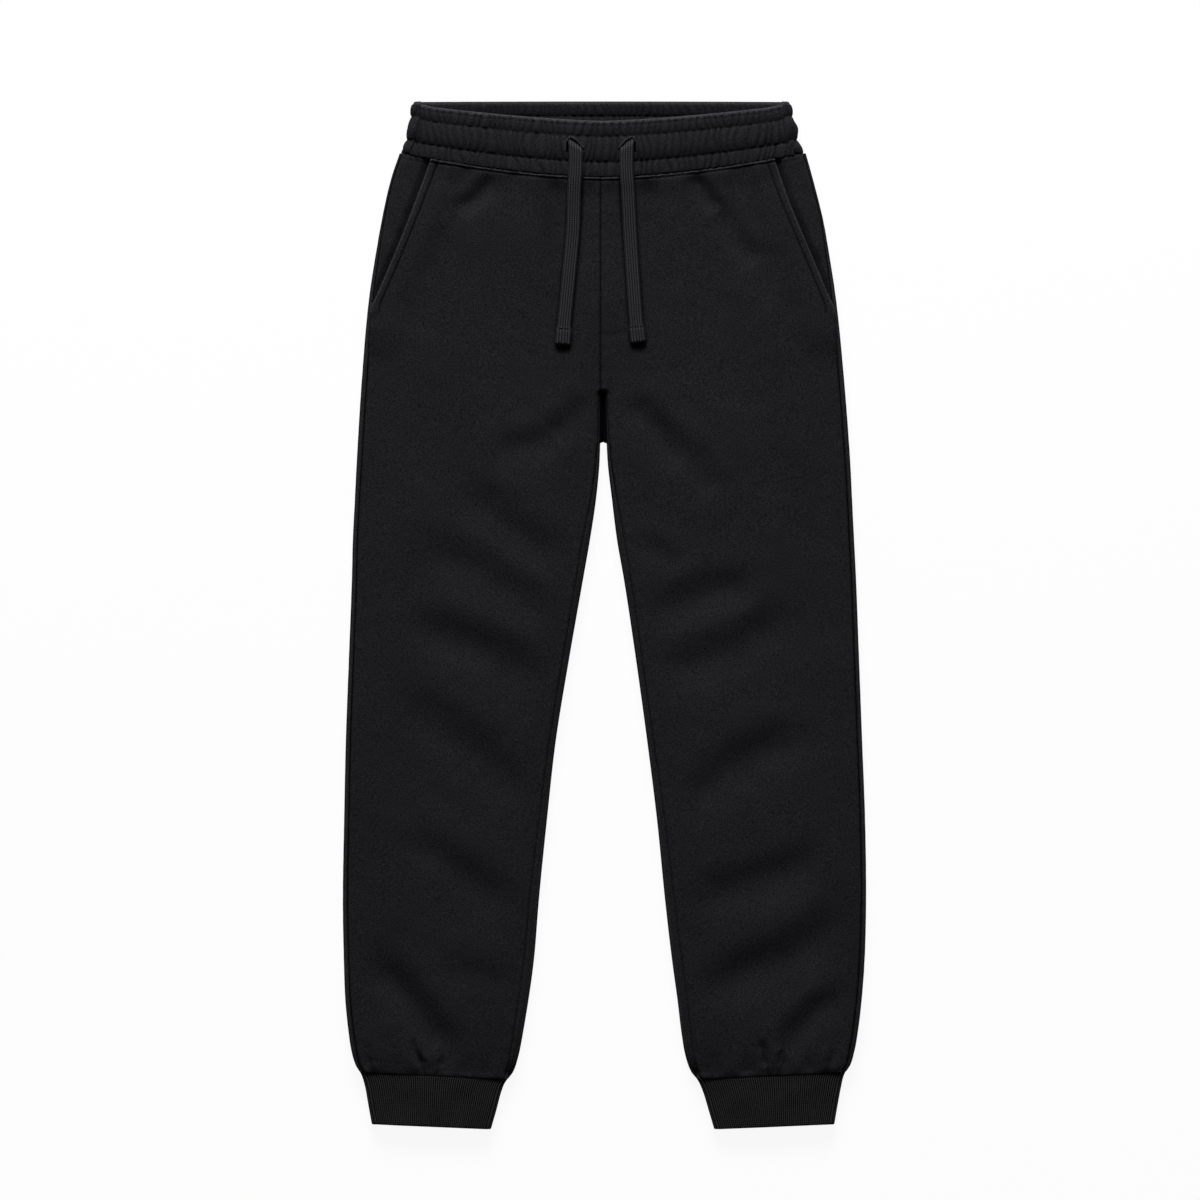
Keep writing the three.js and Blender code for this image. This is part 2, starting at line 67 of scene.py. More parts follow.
# %% Camera
CAMERA_HEIGHT = 10.0
FIELD = 1.2
centre_x = (cad_box[0][0] + cad_box[1][0]) / 2 - 0.0045
centre_y = (cad_box[0][1] + cad_box[1][1]) / 2 + 0.0153
bpy.ops.object.camera_add(location=(centre_x, centre_y, CAMERA_HEIGHT), rotation=(0, 0, 0))
camera = bpy.context.object
camera.data.sensor_width = 36
camera.data.lens = camera.data.sensor_width * CAMERA_HEIGHT / FIELD
bpy.context.scene.camera = camera
print("camera lens", camera.data.lens)

# %% Floor and light
FLOOR_SIZE = 60.0
bpy.ops.mesh.primitive_plane_add(size=FLOOR_SIZE, location=(0, 0, -0.0004))
floor = bpy.context.object
floor.name = "floor"

KEY_DISTANCE = 6.0
KEY_HEIGHT = math.radians(27)
KEY_ASIDE = math.radians(4)
key_place = (-KEY_DISTANCE * math.cos(KEY_HEIGHT) * math.sin(KEY_ASIDE),
             KEY_DISTANCE * math.cos(KEY_HEIGHT) * math.cos(KEY_ASIDE), KEY_DISTANCE * math.sin(KEY_HEIGHT))
bpy.ops.object.light_add(type="AREA", location=key_place,
                         rotation=(-(math.pi / 2 - KEY_HEIGHT), 0, KEY_ASIDE))
key = bpy.context.object
key.data.shape = "RECTANGLE"
key.data.size, key.data.size_y = 3.4, 2.0
key.data.energy = 640
world = bpy.data.worlds.new("white room")
bpy.context.scene.world = world
world.use_nodes = True
world.node_tree.nodes["Background"].inputs["Color"].default_value = (1, 1, 1, 1)
world.node_tree.nodes["Background"].inputs["Strength"].default_value = 0.13
bpy.context.scene.view_settings.view_transform = "Standard"
print("key light at", [round(c, 2) for c in key_place])

# %% [markdown]
# ## Finishes
# Every finish here is a dyed cotton. Cotton has no clear gloss, so the specular level is low and the
# roughness is high, and a little sheen stands for the fibres that stand up from the brushed face.
# The fleece's knit is about a millimetre fine. It is drawn a little coarser so that it still shows.

# %% Helpers for finishes
def linear(hex_colour):
    """An sRGB hex colour as the linear colour that a shader takes."""
    parts = [int(hex_colour[i:i + 2], 16) / 255 for i in (0, 2, 4)]
    return tuple(c / 12.92 if c <= 0.04045 else ((c + 0.055) / 1.055) ** 2.4 for c in parts) + (1.0,)


def add_node(tree, kind, inputs=None, **settings):
    """One node with its settings. Inputs are constants, or sockets to link from."""
    node = tree.nodes.new("ShaderNode" + kind)
    for key, value in settings.items():
        setattr(node, key, value)
    for key, value in (inputs or {}).items():
        if isinstance(value, bpy.types.NodeSocket):
            tree.links.new(value, node.inputs[key])
        else:
            node.inputs[key].default_value = value
    return node


def cotton(name, roughness=0.95, specular=0.05, sheen=0.04, sheen_colour="8a8a90"):
    """A new material with the constants of dyed cotton, and its tree and shader."""
    material = bpy.data.materials.new(name)
    material.use_nodes = True
    tree = material.node_tree
    shader = tree.nodes["Principled BSDF"]
    shader.inputs["Roughness"].default_value = roughness
    shader.inputs["Specular IOR Level"].default_value = specular
    shader.inputs["Sheen Weight"].default_value = sheen
    shader.inputs["Sheen Roughness"].default_value = 0.55
    shader.inputs["Sheen Tint"].default_value = linear(sheen_colour)
    return material, tree, shader


def bump(tree, shader, height, strength, distance, below=None):
    """A bump on the shader, on top of the one below it. Distance is in metres."""
    inputs = {"Height": height, "Strength": strength, "Distance": distance}
    if below is not None:
        inputs["Normal"] = below
    node = add_node(tree, "Bump", inputs)
    tree.links.new(node.outputs["Normal"], shader.inputs["Normal"])
    return node.outputs["Normal"]


def wave_scale(pitch):
    """The scale at which Blender's band wave repeats once in each pitch, in metres."""
    return 2 * math.pi / (20 * pitch)


# %% Brushed fleece
def brushed_fleece(name, dark, light):
    """Cotton sweatshirt fleece: a fine knit face with a short nap and paler fibre ends. Each piece's own
    point attribute scales the colour with painted shade and painted highlights: darker in seams, pinches,
    puckers, slots and beside the cord, lighter on folded rims."""
    material, tree, shader = cotton(name, specular=0.02, sheen=0.012)
    where = add_node(tree, "TexCoord").outputs["Object"]
    nap = add_node(tree, "TexNoise", {"Vector": where, "Scale": 760.0, "Detail": 3.0, "Roughness": 0.7})
    pills = add_node(tree, "TexNoise", {"Vector": where, "Scale": 210.0, "Detail": 2.0, "Roughness": 0.6})
    cloud = add_node(tree, "TexNoise", {"Vector": where, "Scale": 14.0, "Detail": 2.0, "Roughness": 0.5})
    wales = add_node(tree, "TexWave", {"Vector": where, "Scale": wave_scale(0.0021), "Distortion": 2.5,
                                       "Detail": 1.0, "Detail Scale": 6.0}, bands_direction="X")
    fibres = add_node(tree, "ValToRGB", {"Fac": nap.outputs["Fac"]})
    fibres.color_ramp.elements[0].position = 0.34
    fibres.color_ramp.elements[0].color = linear(dark)
    fibres.color_ramp.elements[1].position = 0.70
    fibres.color_ramp.elements[1].color = linear(light)
    shade = add_node(tree, "MapRange", {"Value": cloud.outputs["Fac"], "From Min": 0.3, "From Max": 0.7,
                                        "To Min": 0.93, "To Max": 1.06})
    # painted light: this point attribute holds each piece's painted shade and painted highlights, and
    # scales the colour
    painted_light = add_node(tree, "Attribute", attribute_name="painted_light").outputs["Fac"]
    tone = add_node(tree, "Math", {0: shade.outputs["Result"], 1: painted_light}, operation="MULTIPLY").outputs[0]
    colour = add_node(tree, "VectorMath", {"Vector": fibres.outputs["Color"], "Scale": tone},
                      operation="SCALE")
    tree.links.new(colour.outputs["Vector"], shader.inputs["Base Color"])
    knit = bump(tree, shader, wales.outputs["Fac"], 0.35, 0.0003)
    knit = bump(tree, shader, pills.outputs["Fac"], 0.22, 0.0005, knit)
    bump(tree, shader, nap.outputs["Fac"], 0.62, 0.0004, knit)
    return material


# Black reactive-dyed fleece. It reads as a very dark, slightly blue charcoal with a matt face.
fleece = brushed_fleece("dyed cotton fleece", "0f0f10", "29292c")
# The band is the same cloth with its face stretched and gathered, which shows the knit more.
band_cloth = brushed_fleece("gathered cotton fleece", "0f0f10", "2b2b2e")
print("finishes:", fleece.name, "and", band_cloth.name)


# %% Rib knit
RIBS_ROUND = 126
RIB_PITCH = 0.00235


def rib_knit(name, dark, light):
    """Cotton and elastane rib: the ribs are modelled, and their loops and fuzz are drawn on them. A
    wave across the ribs paints shade into the valleys between them.
    """
    material, tree, shader = cotton(name, specular=0.04, sheen=0.02)
    around = add_node(tree, "UVMap", uv_map="cloth").outputs["UV"]
    where = add_node(tree, "TexCoord").outputs["Object"]
    # painted shade: this wave darkens the colour in the valleys between the modelled ribs
    ribs = add_node(tree, "TexWave", {"Vector": around, "Scale": wave_scale(RIB_PITCH)},
                    bands_direction="X")
    loops = add_node(tree, "TexWave", {"Vector": where, "Scale": wave_scale(0.0019), "Distortion": 1.5,
                                       "Detail": 1.0, "Detail Scale": 4.0}, bands_direction="Y")
    fuzz = add_node(tree, "TexNoise", {"Vector": where, "Scale": 700.0, "Detail": 2.0, "Roughness": 0.6})
    both = add_node(tree, "Math", {0: ribs.outputs["Fac"], 1: fuzz.outputs["Fac"]}, operation="ADD")
    tone = add_node(tree, "ValToRGB", {"Fac": both.outputs[0]})
    tone.color_ramp.elements[0].position = 0.62
    tone.color_ramp.elements[0].color = linear(dark)
    tone.color_ramp.elements[1].position = 1.0
    tone.color_ramp.elements[1].color = linear(light)
    tree.links.new(tone.outputs["Color"], shader.inputs["Base Color"])
    knit = bump(tree, shader, loops.outputs["Fac"], 0.35, 0.0003)
    bump(tree, shader, fuzz.outputs["Fac"], 0.4, 0.0004, knit)
    return material


# Rib for cuffs is knitted tighter than the fleece. Its colour falls to near black in the valleys
# between the ribs, which is painted shade.
rib = rib_knit("rib knit cotton", "020203", "272728")


# %% Flat braid for the drawcord
CORD_WIDTH = 13.0
WALES = 5


def flat_braid(name, dark, light):
    """Flat braided cotton: five columns along the cord, each a chain of small stitches."""
    material, tree, shader = cotton(name, roughness=0.9, specular=0.08, sheen=0.05)
    where = add_node(tree, "UVMap", uv_map="cloth").outputs["UV"]
    columns = add_node(tree, "TexWave", {"Vector": where, "Scale": wave_scale(CORD_WIDTH * MM / WALES)},
                       bands_direction="X")
    picks = add_node(tree, "TexWave", {"Vector": where, "Scale": wave_scale(0.0018), "Distortion": 0.8,
                                       "Detail Scale": 3.0}, bands_direction="Y")
    dots = add_node(tree, "Math", {0: picks.outputs["Fac"], 1: 0.6, 2: 0.4}, operation="MULTIPLY_ADD")
    weave = add_node(tree, "Math", {0: columns.outputs["Fac"], 1: dots.outputs[0]}, operation="MULTIPLY")
    fuzz = add_node(tree, "TexNoise", {"Vector": where, "Scale": 900.0, "Detail": 2.0})
    mixed = add_node(tree, "Math", {0: fuzz.outputs["Fac"], 1: 0.5, 2: weave.outputs[0]},
                     operation="MULTIPLY_ADD")
    tone = add_node(tree, "ValToRGB", {"Fac": mixed.outputs[0]})
    tone.color_ramp.elements[0].position = 0.2
    tone.color_ramp.elements[0].color = linear(dark)
    tone.color_ramp.elements[1].position = 1.0
    tone.color_ramp.elements[1].color = linear(light)
    tree.links.new(tone.outputs["Color"], shader.inputs["Base Color"])
    bump(tree, shader, weave.outputs[0], 0.6, 0.0006)
    return material


# The cord's cotton is mercerised and takes the dye a little less deeply than the fleece.
braid = flat_braid("braided cotton", "0b0b0c", "323234")


# %% Sewing thread and the floor
def plain_thread(name, colour):
    material, tree, shader = cotton(name, roughness=0.75, specular=0.15, sheen=0.02)
    where = add_node(tree, "TexCoord").outputs["Object"]
    twist = add_node(tree, "TexNoise", {"Vector": where, "Scale": 1500.0, "Detail": 1.0})
    tone = add_node(tree, "ValToRGB", {"Fac": twist.outputs["Fac"]})
    tone.color_ramp.elements[0].color = linear(colour)
    tone.color_ramp.elements[1].color = linear("2a2a2c")
    tree.links.new(tone.outputs["Color"], shader.inputs["Base Color"])
    return material


# Polyester sewing thread, dyed to match, with a faint twist.
thread = plain_thread("polyester thread", "161617")
# A light table's opal acrylic: it glows evenly and takes only a faint shadow.
opal = bpy.data.materials.new("opal acrylic")
opal.use_nodes = True
opal_shader = opal.node_tree.nodes["Principled BSDF"]
opal_shader.inputs["Base Color"].default_value = (0.075, 0.075, 0.075, 1)
opal_shader.inputs["Roughness"].default_value = 0.9
opal_shader.inputs["Specular IOR Level"].default_value = 0.0
opal_shader.inputs["Emission Color"].default_value = (1, 1, 1, 1)
opal_shader.inputs["Emission Strength"].default_value = 0.919
floor.data.materials.append(opal)

# %% [markdown]
# ## The form of the laid trousers
# All panels share one form, so that they meet at their seams. It is worked out from a short table of
# sections: how far out the folded edges lie, where the seams run, and how high the upper layer
# stands. The solid model has nearly the same sizes: the two differ by up to about 2 mm at the hips
# and the ankles. Millimetres are easier to read for cloth, so the form works in them, and a piece
# is turned to metres when its points are set.

# %% Sizes of the cut
CLOTH = 2.0
BAND_WALL = 4.0
CUFF_WALL = 3.0
EDGE = 7.0
SWELL = 62.0
WAIST_SEAM = 461.5
WAIST_SEAM_DIP = 24.0
WAIST_MIDDLE = -2.4
WAIST_HALF = 200.6
BAND_TOP = 511.0
BAND_TOP_DIP = 17.5
BAND_EDGE = 8.0
BAND_HEIGHT = 19.0
CROTCH_FRONT = 220.0
CROTCH_SOFT = 6.0
CROTCH_BACK = 172.0
CENTRE_FRONT = -4.0
CENTRE_BACK = -1.5
POCKET_BOTTOM = 308.0
POCKET_LAP = 12.0
CUFF_SEAM = -456.0
CUFF_SEAM_SLANT = 7.0
CUFF_HEM = -508.9
CUFF_HEM_SLANT = 5.1
CUFF_EDGE = 5.5
CUFF_HEIGHT = 13.0
SEAM_GAP = 0.3

SECTIONS = {
    "y": [462, 435, 395, 355, 315, 235, 155, 115, 75, 35, -45, -125, -205, -285, -345, -385, -415, -435,
          -450, -456],
    "right_outer": [204.5, 213.5, 222.5, 229.5, 235.5, 242.5, 247.5, 249.5, 251.5, 252.5, 255.5, 258.5,
                    260.2, 261.5, 260.5, 259, 256, 253, 248.5, 245],
    "right_inner": [4.5, 4.5, 4.5, 4.5, 4.5, 4.5, 4.8, 8.5, 14.5, 21.5, 35.5, 48.5, 57.5, 65.5, 70.5, 76,
                    81.5, 86, 91.5, 96],
    "left_outer": [201, 208.5, 218.5, 225.5, 231.5, 239.5, 245.5, 247.5, 249.5, 251.5, 254.5, 257.5,
                   260.5, 261.5, 260, 257, 253.5, 250, 245.5, 241.5],
    "left_inner": [1.5, 1.5, 1.5, 1.5, 1.5, 1.5, 3, 7.5, 12.5, 19.5, 31.5, 42.5, 52.5, 60.5, 67.5, 73, 77,
                   81, 87, 92],
    "side_seam": [2, 2, 2, 3, 4, 5, 5, 4.5, 4.5, 4.5, 4.5, 4.5, 4.5, 4.5, 5, 5, 5, 5, 4, 3.5],
    "inseam": [0.8, 0.8, 0.8, 0.8, 0.8, 0.8, 3, 5, 7, 6.5, 6, 6, 7.5, 9, 9.5, 9.5, 9, 8, 6, 4],
    "height": [17, 17.5, 18, 18, 18, 18, 18, 18, 18, 18, 17.5, 17.5, 17.5, 17, 17, 17, 17, 16.5,
               15.2, 14.4],
}
POCKET_EDGE = {
    "y": [462, 415, 360, POCKET_BOTTOM],
    "right": [170.5, 188.0, 209.7, 232.2],
    "left": [167.0, 183.5, 206.3, 228.2],
}
SIGN = {"right": -1.0, "left": 1.0}


def read(table, column, at, key="y"):
    """A smooth curve through one column of a table."""
    order = np.argsort(table[key])
    knots = np.asarray(table[key], float)[order]
    values = np.asarray(table[column], float)[order]
    slopes = np.diff(values) / np.diff(knots)
    tangents = np.concatenate([slopes[:1], (slopes[:-1] + slopes[1:]) / 2, slopes[-1:]])
    at = np.clip(at, knots[0], knots[-1])
    i = np.clip(np.searchsorted(knots, at) - 1, 0, len(knots) - 2)
    span = knots[i + 1] - knots[i]
    t = (at - knots[i]) / span
    return ((2 * t**3 - 3 * t**2 + 1) * values[i] + (t**3 - 2 * t**2 + t) * span * tangents[i]
            + (3 * t**2 - 2 * t**3) * values[i + 1] + (t**3 - t**2) * span * tangents[i + 1])


def mix(a, b, t):
    return a + (b - a) * t


def smooth(x, low, high):
    t = np.clip((x - low) / (high - low), 0, 1)
    return t * t * (3 - 2 * t)


def roll(distance, radius=EDGE):
    """The round of a folded edge: 0 at the edge and 1 one radius in."""
    return np.sqrt(np.maximum(0, 1 - (1 - np.clip(distance / radius, 0, 1)) ** 2))


def swell(distance):
    return np.sin(math.pi / 2 * np.clip(distance / SWELL, 0, 1))


def bow(x, power=1.65):
    """1 in the middle of the waist and 0 at its two sides."""
    return np.maximum(0, 1 - np.abs((x - WAIST_MIDDLE) / WAIST_HALF) ** power)


print("leg is", SECTIONS["right_outer"][8] - SECTIONS["right_inner"][8], "mm wide at the thigh")

# %% [markdown]
# ## Creases
# Heavy fleece doesn't crease sharply. Where a leg was folded or bent it keeps soft troughs that run
# slanting down towards the inseam, each with a low ridge on its upper side. They are listed one by one
# in a table, because their uneven lengths and spacing are what makes the cloth look laid and not
# printed. Between them a slow random swell keeps any stretch from being dead flat.

# %% The table of creases
# Each runs from one point to another: x1, y1, x2, y2, then how deep and how wide it is.
CREASES = [
    (-15, 214, -60, 187, 2.9, 15), (-50, 192, -106, 164, 2.2, 16),
    (-134, 128, -42, 65, 2.6, 21), (-167, 75, -51, 12, 2.9, 22), (-181, 5, -63, -56, 3.6, 22),
    (-181, -75, -70, -180, 3.4, 24), (-181, -213, -93, -287, 2.8, 20), (-157, -339, -88, -364, 1.4, 16),
    (-223, -343, -146, -425, 4.4, 18),
    (29, 217, 90, 161, 3.3, 15), (85, 165, 117, 133, 2.0, 16), (33, 82, 75, 51, 1.8, 13),
    (46, 12, 140, 40, 2.8, 20), (56, -49, 177, 2, 3.2, 22), (78, -178, 186, -105, 3.4, 23),
    (92, -280, 204, -231, 2.8, 20), (92, -374, 223, -299, 3.8, 22), (172, -427, 232, -371, 3.4, 15),
    (92, 440, 118, 408, 3.0, 9), (118, 408, 160, 355, 2.3, 13), (160, 355, 173, 313, 1.2, 12),
    (-114, 440, -145, 408, 3.2, 10),
    (-190, -423, -180, -448, 2.4, 5), (-160, -428, -169, -449, 2.0, 5), (-235, -428, -229, -447, 1.6, 5),
    (160, -427, 165, -448, 2.4, 5), (178, -430, 173, -448, 1.8, 5), (226, -434, 222, -448, 1.6, 5),
]
# The underside has its own, pressed flatter by the garment's weight.
UNDER_CREASES = [
    (20, 195, 120, 150, 2.0, 16), (-25, 200, -110, 150, 2.2, 17), (60, 95, 170, 60, 1.6, 15),
    (-60, 60, -180, 20, 2.0, 18), (70, -40, 190, -80, 2.2, 17), (-75, -90, -190, -40, 1.8, 16),
    (90, -210, 200, -160, 1.7, 18), (-90, -230, -205, -270, 2.2, 17), (100, -340, 210, -380, 2.0, 15),
    (-100, -380, -190, -340, 1.8, 16), (-60, 420, -110, 350, 1.5, 14), (70, 425, 110, 340, 1.5, 14),
    (-150, 380, -190, 300, 1.2, 13), (150, 390, 195, 290, 1.4, 13),
]


CREASE_DEPTH = 1.25


def crease_field(creases, x, y, ridge=0.35):
    """How far the creases lower the cloth at x, y. A ridge on the upper side of each comes out negative."""
    low = np.zeros_like(x)
    high = np.zeros_like(x)
    for x1, y1, x2, y2, depth, width in creases:
        length = math.hypot(x2 - x1, y2 - y1)
        ax, ay = (x2 - x1) / length, (y2 - y1) / length
        nx, ny = (-ay, ax) if ax > 0 else (ay, -ax)
        along = ((x - x1) * ax + (y - y1) * ay) / length
        away = (x - x1) * nx + (y - y1) * ny
        fade = smooth(along, -0.18, 0.22) * (1 - smooth(along, 0.80, 1.20))
        wander = 0.16 * width * np.sin(5.1 * along + x1)
        low = np.maximum(low, depth * fade * np.exp(-((away + 0.55 * width + wander) / width) ** 2))
        crest = np.exp(-((away - 0.75 * width + wander) / (0.9 * width)) ** 2)
        high = np.maximum(high, ridge * depth * fade * crest)
    return CREASE_DEPTH * (low - high)


def swells(x, y, wavelength, seed, waves=14):
    """A slow, seeded, random swell of about plus or minus one, with waves of about the given length."""
    rng = np.random.default_rng(seed)
    total = np.zeros_like(x)
    for _ in range(waves):
        angle = rng.uniform(0, 2 * math.pi)
        size = wavelength * rng.uniform(0.7, 1.6)
        phase = rng.uniform(0, 2 * math.pi)
        total += np.sin(2 * math.pi * (x * math.cos(angle) + y * math.sin(angle)) / size + phase)
    return total / math.sqrt(waves)


# %% The upper layer
def top_height(side, out, y):
    """Height of the upper layer, by how far out from the middle and how far up the garment."""
    x = SIGN[side] * out
    outer = read(SECTIONS, side + "_outer", y)
    inner = read(SECTIONS, side + "_inner", y)
    height = read(SECTIONS, "height", y)
    joined = smooth(y, CROTCH_FRONT, CROTCH_FRONT + CROTCH_SOFT)
    filled = smooth(y, CROTCH_FRONT - 20, CROTCH_FRONT + 110)
    rolled = roll(outer - out) * mix(roll(out - inner), 1, joined)
    crowned = swell(outer - out) * mix(swell(out - inner), 1, filled)
    loose = 0.30 * swells(x, y, 95, 11) + 0.14 * swells(x, y, 34, 12)
    creased = height - 2 * EDGE - crease_field(CREASES, x, y) + loose
    return EDGE + EDGE * rolled + creased * crowned


def row_y(side, out, y, on_front):
    """Rows of the cloth bow down to the waist seam and slant to the cuff seam."""
    outer = read(SECTIONS, side + "_outer", y)
    inner = read(SECTIONS, side + "_inner", y)
    across = np.clip((outer - out) / (outer - inner), 0, 1)
    slant = CUFF_SEAM_SLANT * across * (1 - smooth(y, CUFF_SEAM, CUFF_SEAM + 80))
    if not on_front:
        return y - slant
    return y - slant - WAIST_SEAM_DIP * bow(SIGN[side] * out) * smooth(y, WAIST_SEAM - 130, WAIST_SEAM)


def lifted(side, out, y, lift):
    """A point of the upper layer, moved out of the cloth by lift."""
    at = row_y(side, out, y, True)
    step = 0.25
    z = top_height(side, out, at)
    slope = (top_height(side, out + step, at) - top_height(side, out - step, at)) / (2 * step)
    slope = np.clip(slope, -3, 3)
    size = np.hypot(slope, 1)
    return SIGN[side] * (out - slope / size * lift), at, z + lift / size


# %% [markdown]
# ## Making a panel
# A panel starts as a flat grid, as cloth does, and its points are moved onto the form. Solidify then
# gives it the cloth's thickness, to the inside, so that the outer face keeps its place.

# %% Helpers for panels
def bent_grid(name, columns, rows, form, uv_size):
    """A flat grid bent onto a form, which gives X, Y, Z in millimetres for s and t from 0 to 1. A
    fourth value, if there is one, is the painted shade and painted highlight that scale the colour there."""
    bpy.ops.object.select_all(action="DESELECT")
    bpy.ops.mesh.primitive_grid_add(x_subdivisions=columns, y_subdivisions=rows, size=1)
    piece = bpy.context.object
    piece.name = piece.data.name = name
    mesh = piece.data
    flat = np.empty(len(mesh.vertices) * 3, dtype=np.float32)
    mesh.vertices.foreach_get("co", flat)
    flat = flat.reshape(-1, 3).astype(float)
    x, y, z, *painted_light = form(flat[:, 0] + 0.5, flat[:, 1] + 0.5)
    for values in painted_light:
        mesh.attributes.new("painted_light", "FLOAT", "POINT").data.foreach_set("value", values.astype(np.float32))
    mesh.vertices.foreach_set("co", (np.stack([x, y, z], 1) * MM).astype(np.float32).ravel())
    layer = mesh.uv_layers[0]
    layer.name = "cloth"
    uv = np.empty(len(mesh.loops) * 2, dtype=np.float32)
    layer.uv.foreach_get("vector", uv)
    layer.uv.foreach_set("vector", (uv.reshape(-1, 2) * np.array(uv_size)).astype(np.float32).ravel())
    mesh.update()
    return piece


def face_up(piece, up):
    """Turns the faces so that on the whole they look up, or down where up is False."""
    normals = np.empty(len(piece.data.polygons) * 3, dtype=np.float32)
    piece.data.polygons.foreach_get("normal", normals)
    if (normals.reshape(-1, 3)[:, 2].mean() > 0) != up:
        bpy.ops.object.mode_set(mode="EDIT")
        bpy.ops.mesh.select_all(action="SELECT")
        bpy.ops.mesh.flip_normals()
        bpy.ops.object.mode_set(mode="OBJECT")


def weld(piece, distance=0.00002):
    """Joins the points that meet where a sheet closes on itself, and turns its faces out."""
    bpy.ops.object.mode_set(mode="EDIT")
    bpy.ops.mesh.select_all(action="SELECT")
    bpy.ops.mesh.remove_doubles(threshold=distance)
    bpy.ops.mesh.normals_make_consistent(inside=False)
    bpy.ops.object.mode_set(mode="OBJECT")


def thicken(piece, wall):
    solidify = piece.modifiers.new("wall", "SOLIDIFY")
    solidify.thickness = wall * MM
    solidify.offset = -1
    bpy.ops.object.modifier_apply(modifier=solidify.name)


def finish_piece(piece, material, node):
    """Smooth shading, its finish, and its place in the frame."""
    piece.data.materials.clear()
    piece.data.materials.append(material)
    bpy.ops.object.shade_smooth_by_angle(angle=math.radians(50))
    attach(piece, "root")
    if node:
        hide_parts(node)
    print(piece.name, sum(len(p.vertices) - 2 for p in piece.data.polygons), "triangles")


def near(distance, width):
    """1 on a line and fading to 0 about two widths from it."""
    return np.exp(-((distance / width) ** 2))


# Shares of a panel's rows, so that they are closer together at the cuff, the crotch and the waist.
ROW_SHARES = [0.0, 0.07, 0.55, 0.68, 0.92, 1.0]
ROW_PLACES = [CUFF_SEAM, -430, 166, 234, 446, WAIST_SEAM - SEAM_GAP]


def row_place(t):
    return np.interp(t, ROW_SHARES, ROW_PLACES)


# %% [markdown]
# ## Fronts
# Each front runs from the centre seam or the inseam out to the side seam, and above the pocket to
# the slant pocket edge. There the cloth is folded under and topstitched 8 mm in, so it stands proud
# of the facing below it. Along every seam the cloth rolls down into the stitches and puckers a little.

# %% Where the two cord ends lie
CORD_LINES = {
    "right": {"slit": (-29.0, 474.5), "slant": -1.0,
              "line": [(-28.7, 462), (-29.0, 445), (-30.2, 425), (-31.5, 383), (-35.4, 340), (-40.2, 290),
                       (-41.7, 270)]},
    "left": {"slit": (22.5, 475.0), "slant": 1.0,
             "line": [(22.2, 462), (22.0, 445), (23.4, 425), (25.5, 383), (28.3, 340), (31.8, 290),
                      (33.8, 272)]},
}


def from_line(x, y, points):
    """How far each point lies from a line of points."""
    away = np.full_like(x, 1e3)
    for (x1, y1), (x2, y2) in zip(points, points[1:]):
        span = (x2 - x1) ** 2 + (y2 - y1) ** 2
        share = np.clip(((x - x1) * (x2 - x1) + (y - y1) * (y2 - y1)) / span, 0, 1)
        away = np.minimum(away, np.hypot(x - x1 - share * (x2 - x1), y - y1 - share * (y2 - y1)))
    return away


print("cord ends leave the band at", [line["slit"] for line in CORD_LINES.values()])

# %% The fronts
TOPSTITCH = 8.0
FLY_BOTTOM = 279.0


def front_edges(side, y):
    """How far out the inner and outer edges of the front lie."""
    centre = SIGN[side] * CENTRE_FRONT
    inseam = read(SECTIONS, side + "_inner", y) + read(SECTIONS, "inseam", y)
    inner = mix(inseam, centre, smooth(y, CROTCH_FRONT - 0.5, CROTCH_FRONT + 3.5)) + SEAM_GAP / 2
    seam = read(SECTIONS, side + "_outer", y) - read(SECTIONS, "side_seam", y) - SEAM_GAP / 2
    pocket = read(POCKET_EDGE, side, y)
    pocket = read(POCKET_EDGE, side, row_y(side, pocket, y, True))
    return inner, np.where(y > POCKET_BOTTOM, pocket, seam)


def spread(across, inner, outer):
    """Places across a front, with more columns in its last 11 mm and its first 5 mm."""
    first, last = 0.09, 0.80
    middle = mix(inner + 5, outer - 11, (across - first) / (last - first))
    middle = np.where(across < first, inner + 5 * across / first, middle)
    return np.where(across > last, outer - 11 * (1 - across) / (1 - last), middle)


def front_detail(side, out, y, from_inner, from_outer):
    """What the sewing does to the front: how far it stands out of the form at each point."""
    x = SIGN[side] * out
    pocket = smooth(y, POCKET_BOTTOM - 10, POCKET_BOTTOM - 6)
    lap = (1 - smooth(from_outer, POCKET_LAP + 4, POCKET_LAP + 34))
    lift = 3.9 * lap * smooth(y, POCKET_BOTTOM - 60, POCKET_BOTTOM - 20)
    lift -= pocket * (0.7 * near(from_outer, 0.7) + 1.3 * near(from_outer - TOPSTITCH, 1.0))
    lift += pocket * 0.5 * near(from_outer - TOPSTITCH / 2, 2.6)
    lift -= (1 - pocket) * 1.3 * near(from_outer, 1.5)
    lift -= 1.1 * near(from_inner, 1.3) * (1 - in_slot(y))
    pucker = swells(x, y, 13, 21)
    lift += 0.22 * pucker * (near(from_inner, 6) + (1 - 0.6 * pocket) * near(from_outer, 6))
    centre = smooth(y, CROTCH_FRONT, CROTCH_FRONT + 20)
    if side == "left":
        lift -= centre * 0.5 * near(from_inner - 3.2, 0.8)
        fly = FLY_BOTTOM + 7 * (1 - np.sqrt(np.maximum(0, 1 - np.clip((from_inner - 4) / 24.5, 0, 1) ** 2)))
        lift -= 1.1 * near(y - fly, 1.2) * smooth(from_inner, 3, 5) * (1 - smooth(from_inner, 27, 29))
    flat = smooth(from_outer + 8 * pocket, 0, 8)
    return lift + flat * (waist_detail(x, WAIST_SEAM - y) + ankle_detail(x, y - CUFF_SEAM))


def in_slot(y):
    """1 along the fold between the legs, where the fronts have parted and the backs haven't."""
    return smooth(y, CROTCH_BACK - 3, CROTCH_BACK + 1) * (1 - smooth(y, CROTCH_FRONT, CROTCH_FRONT + 1))


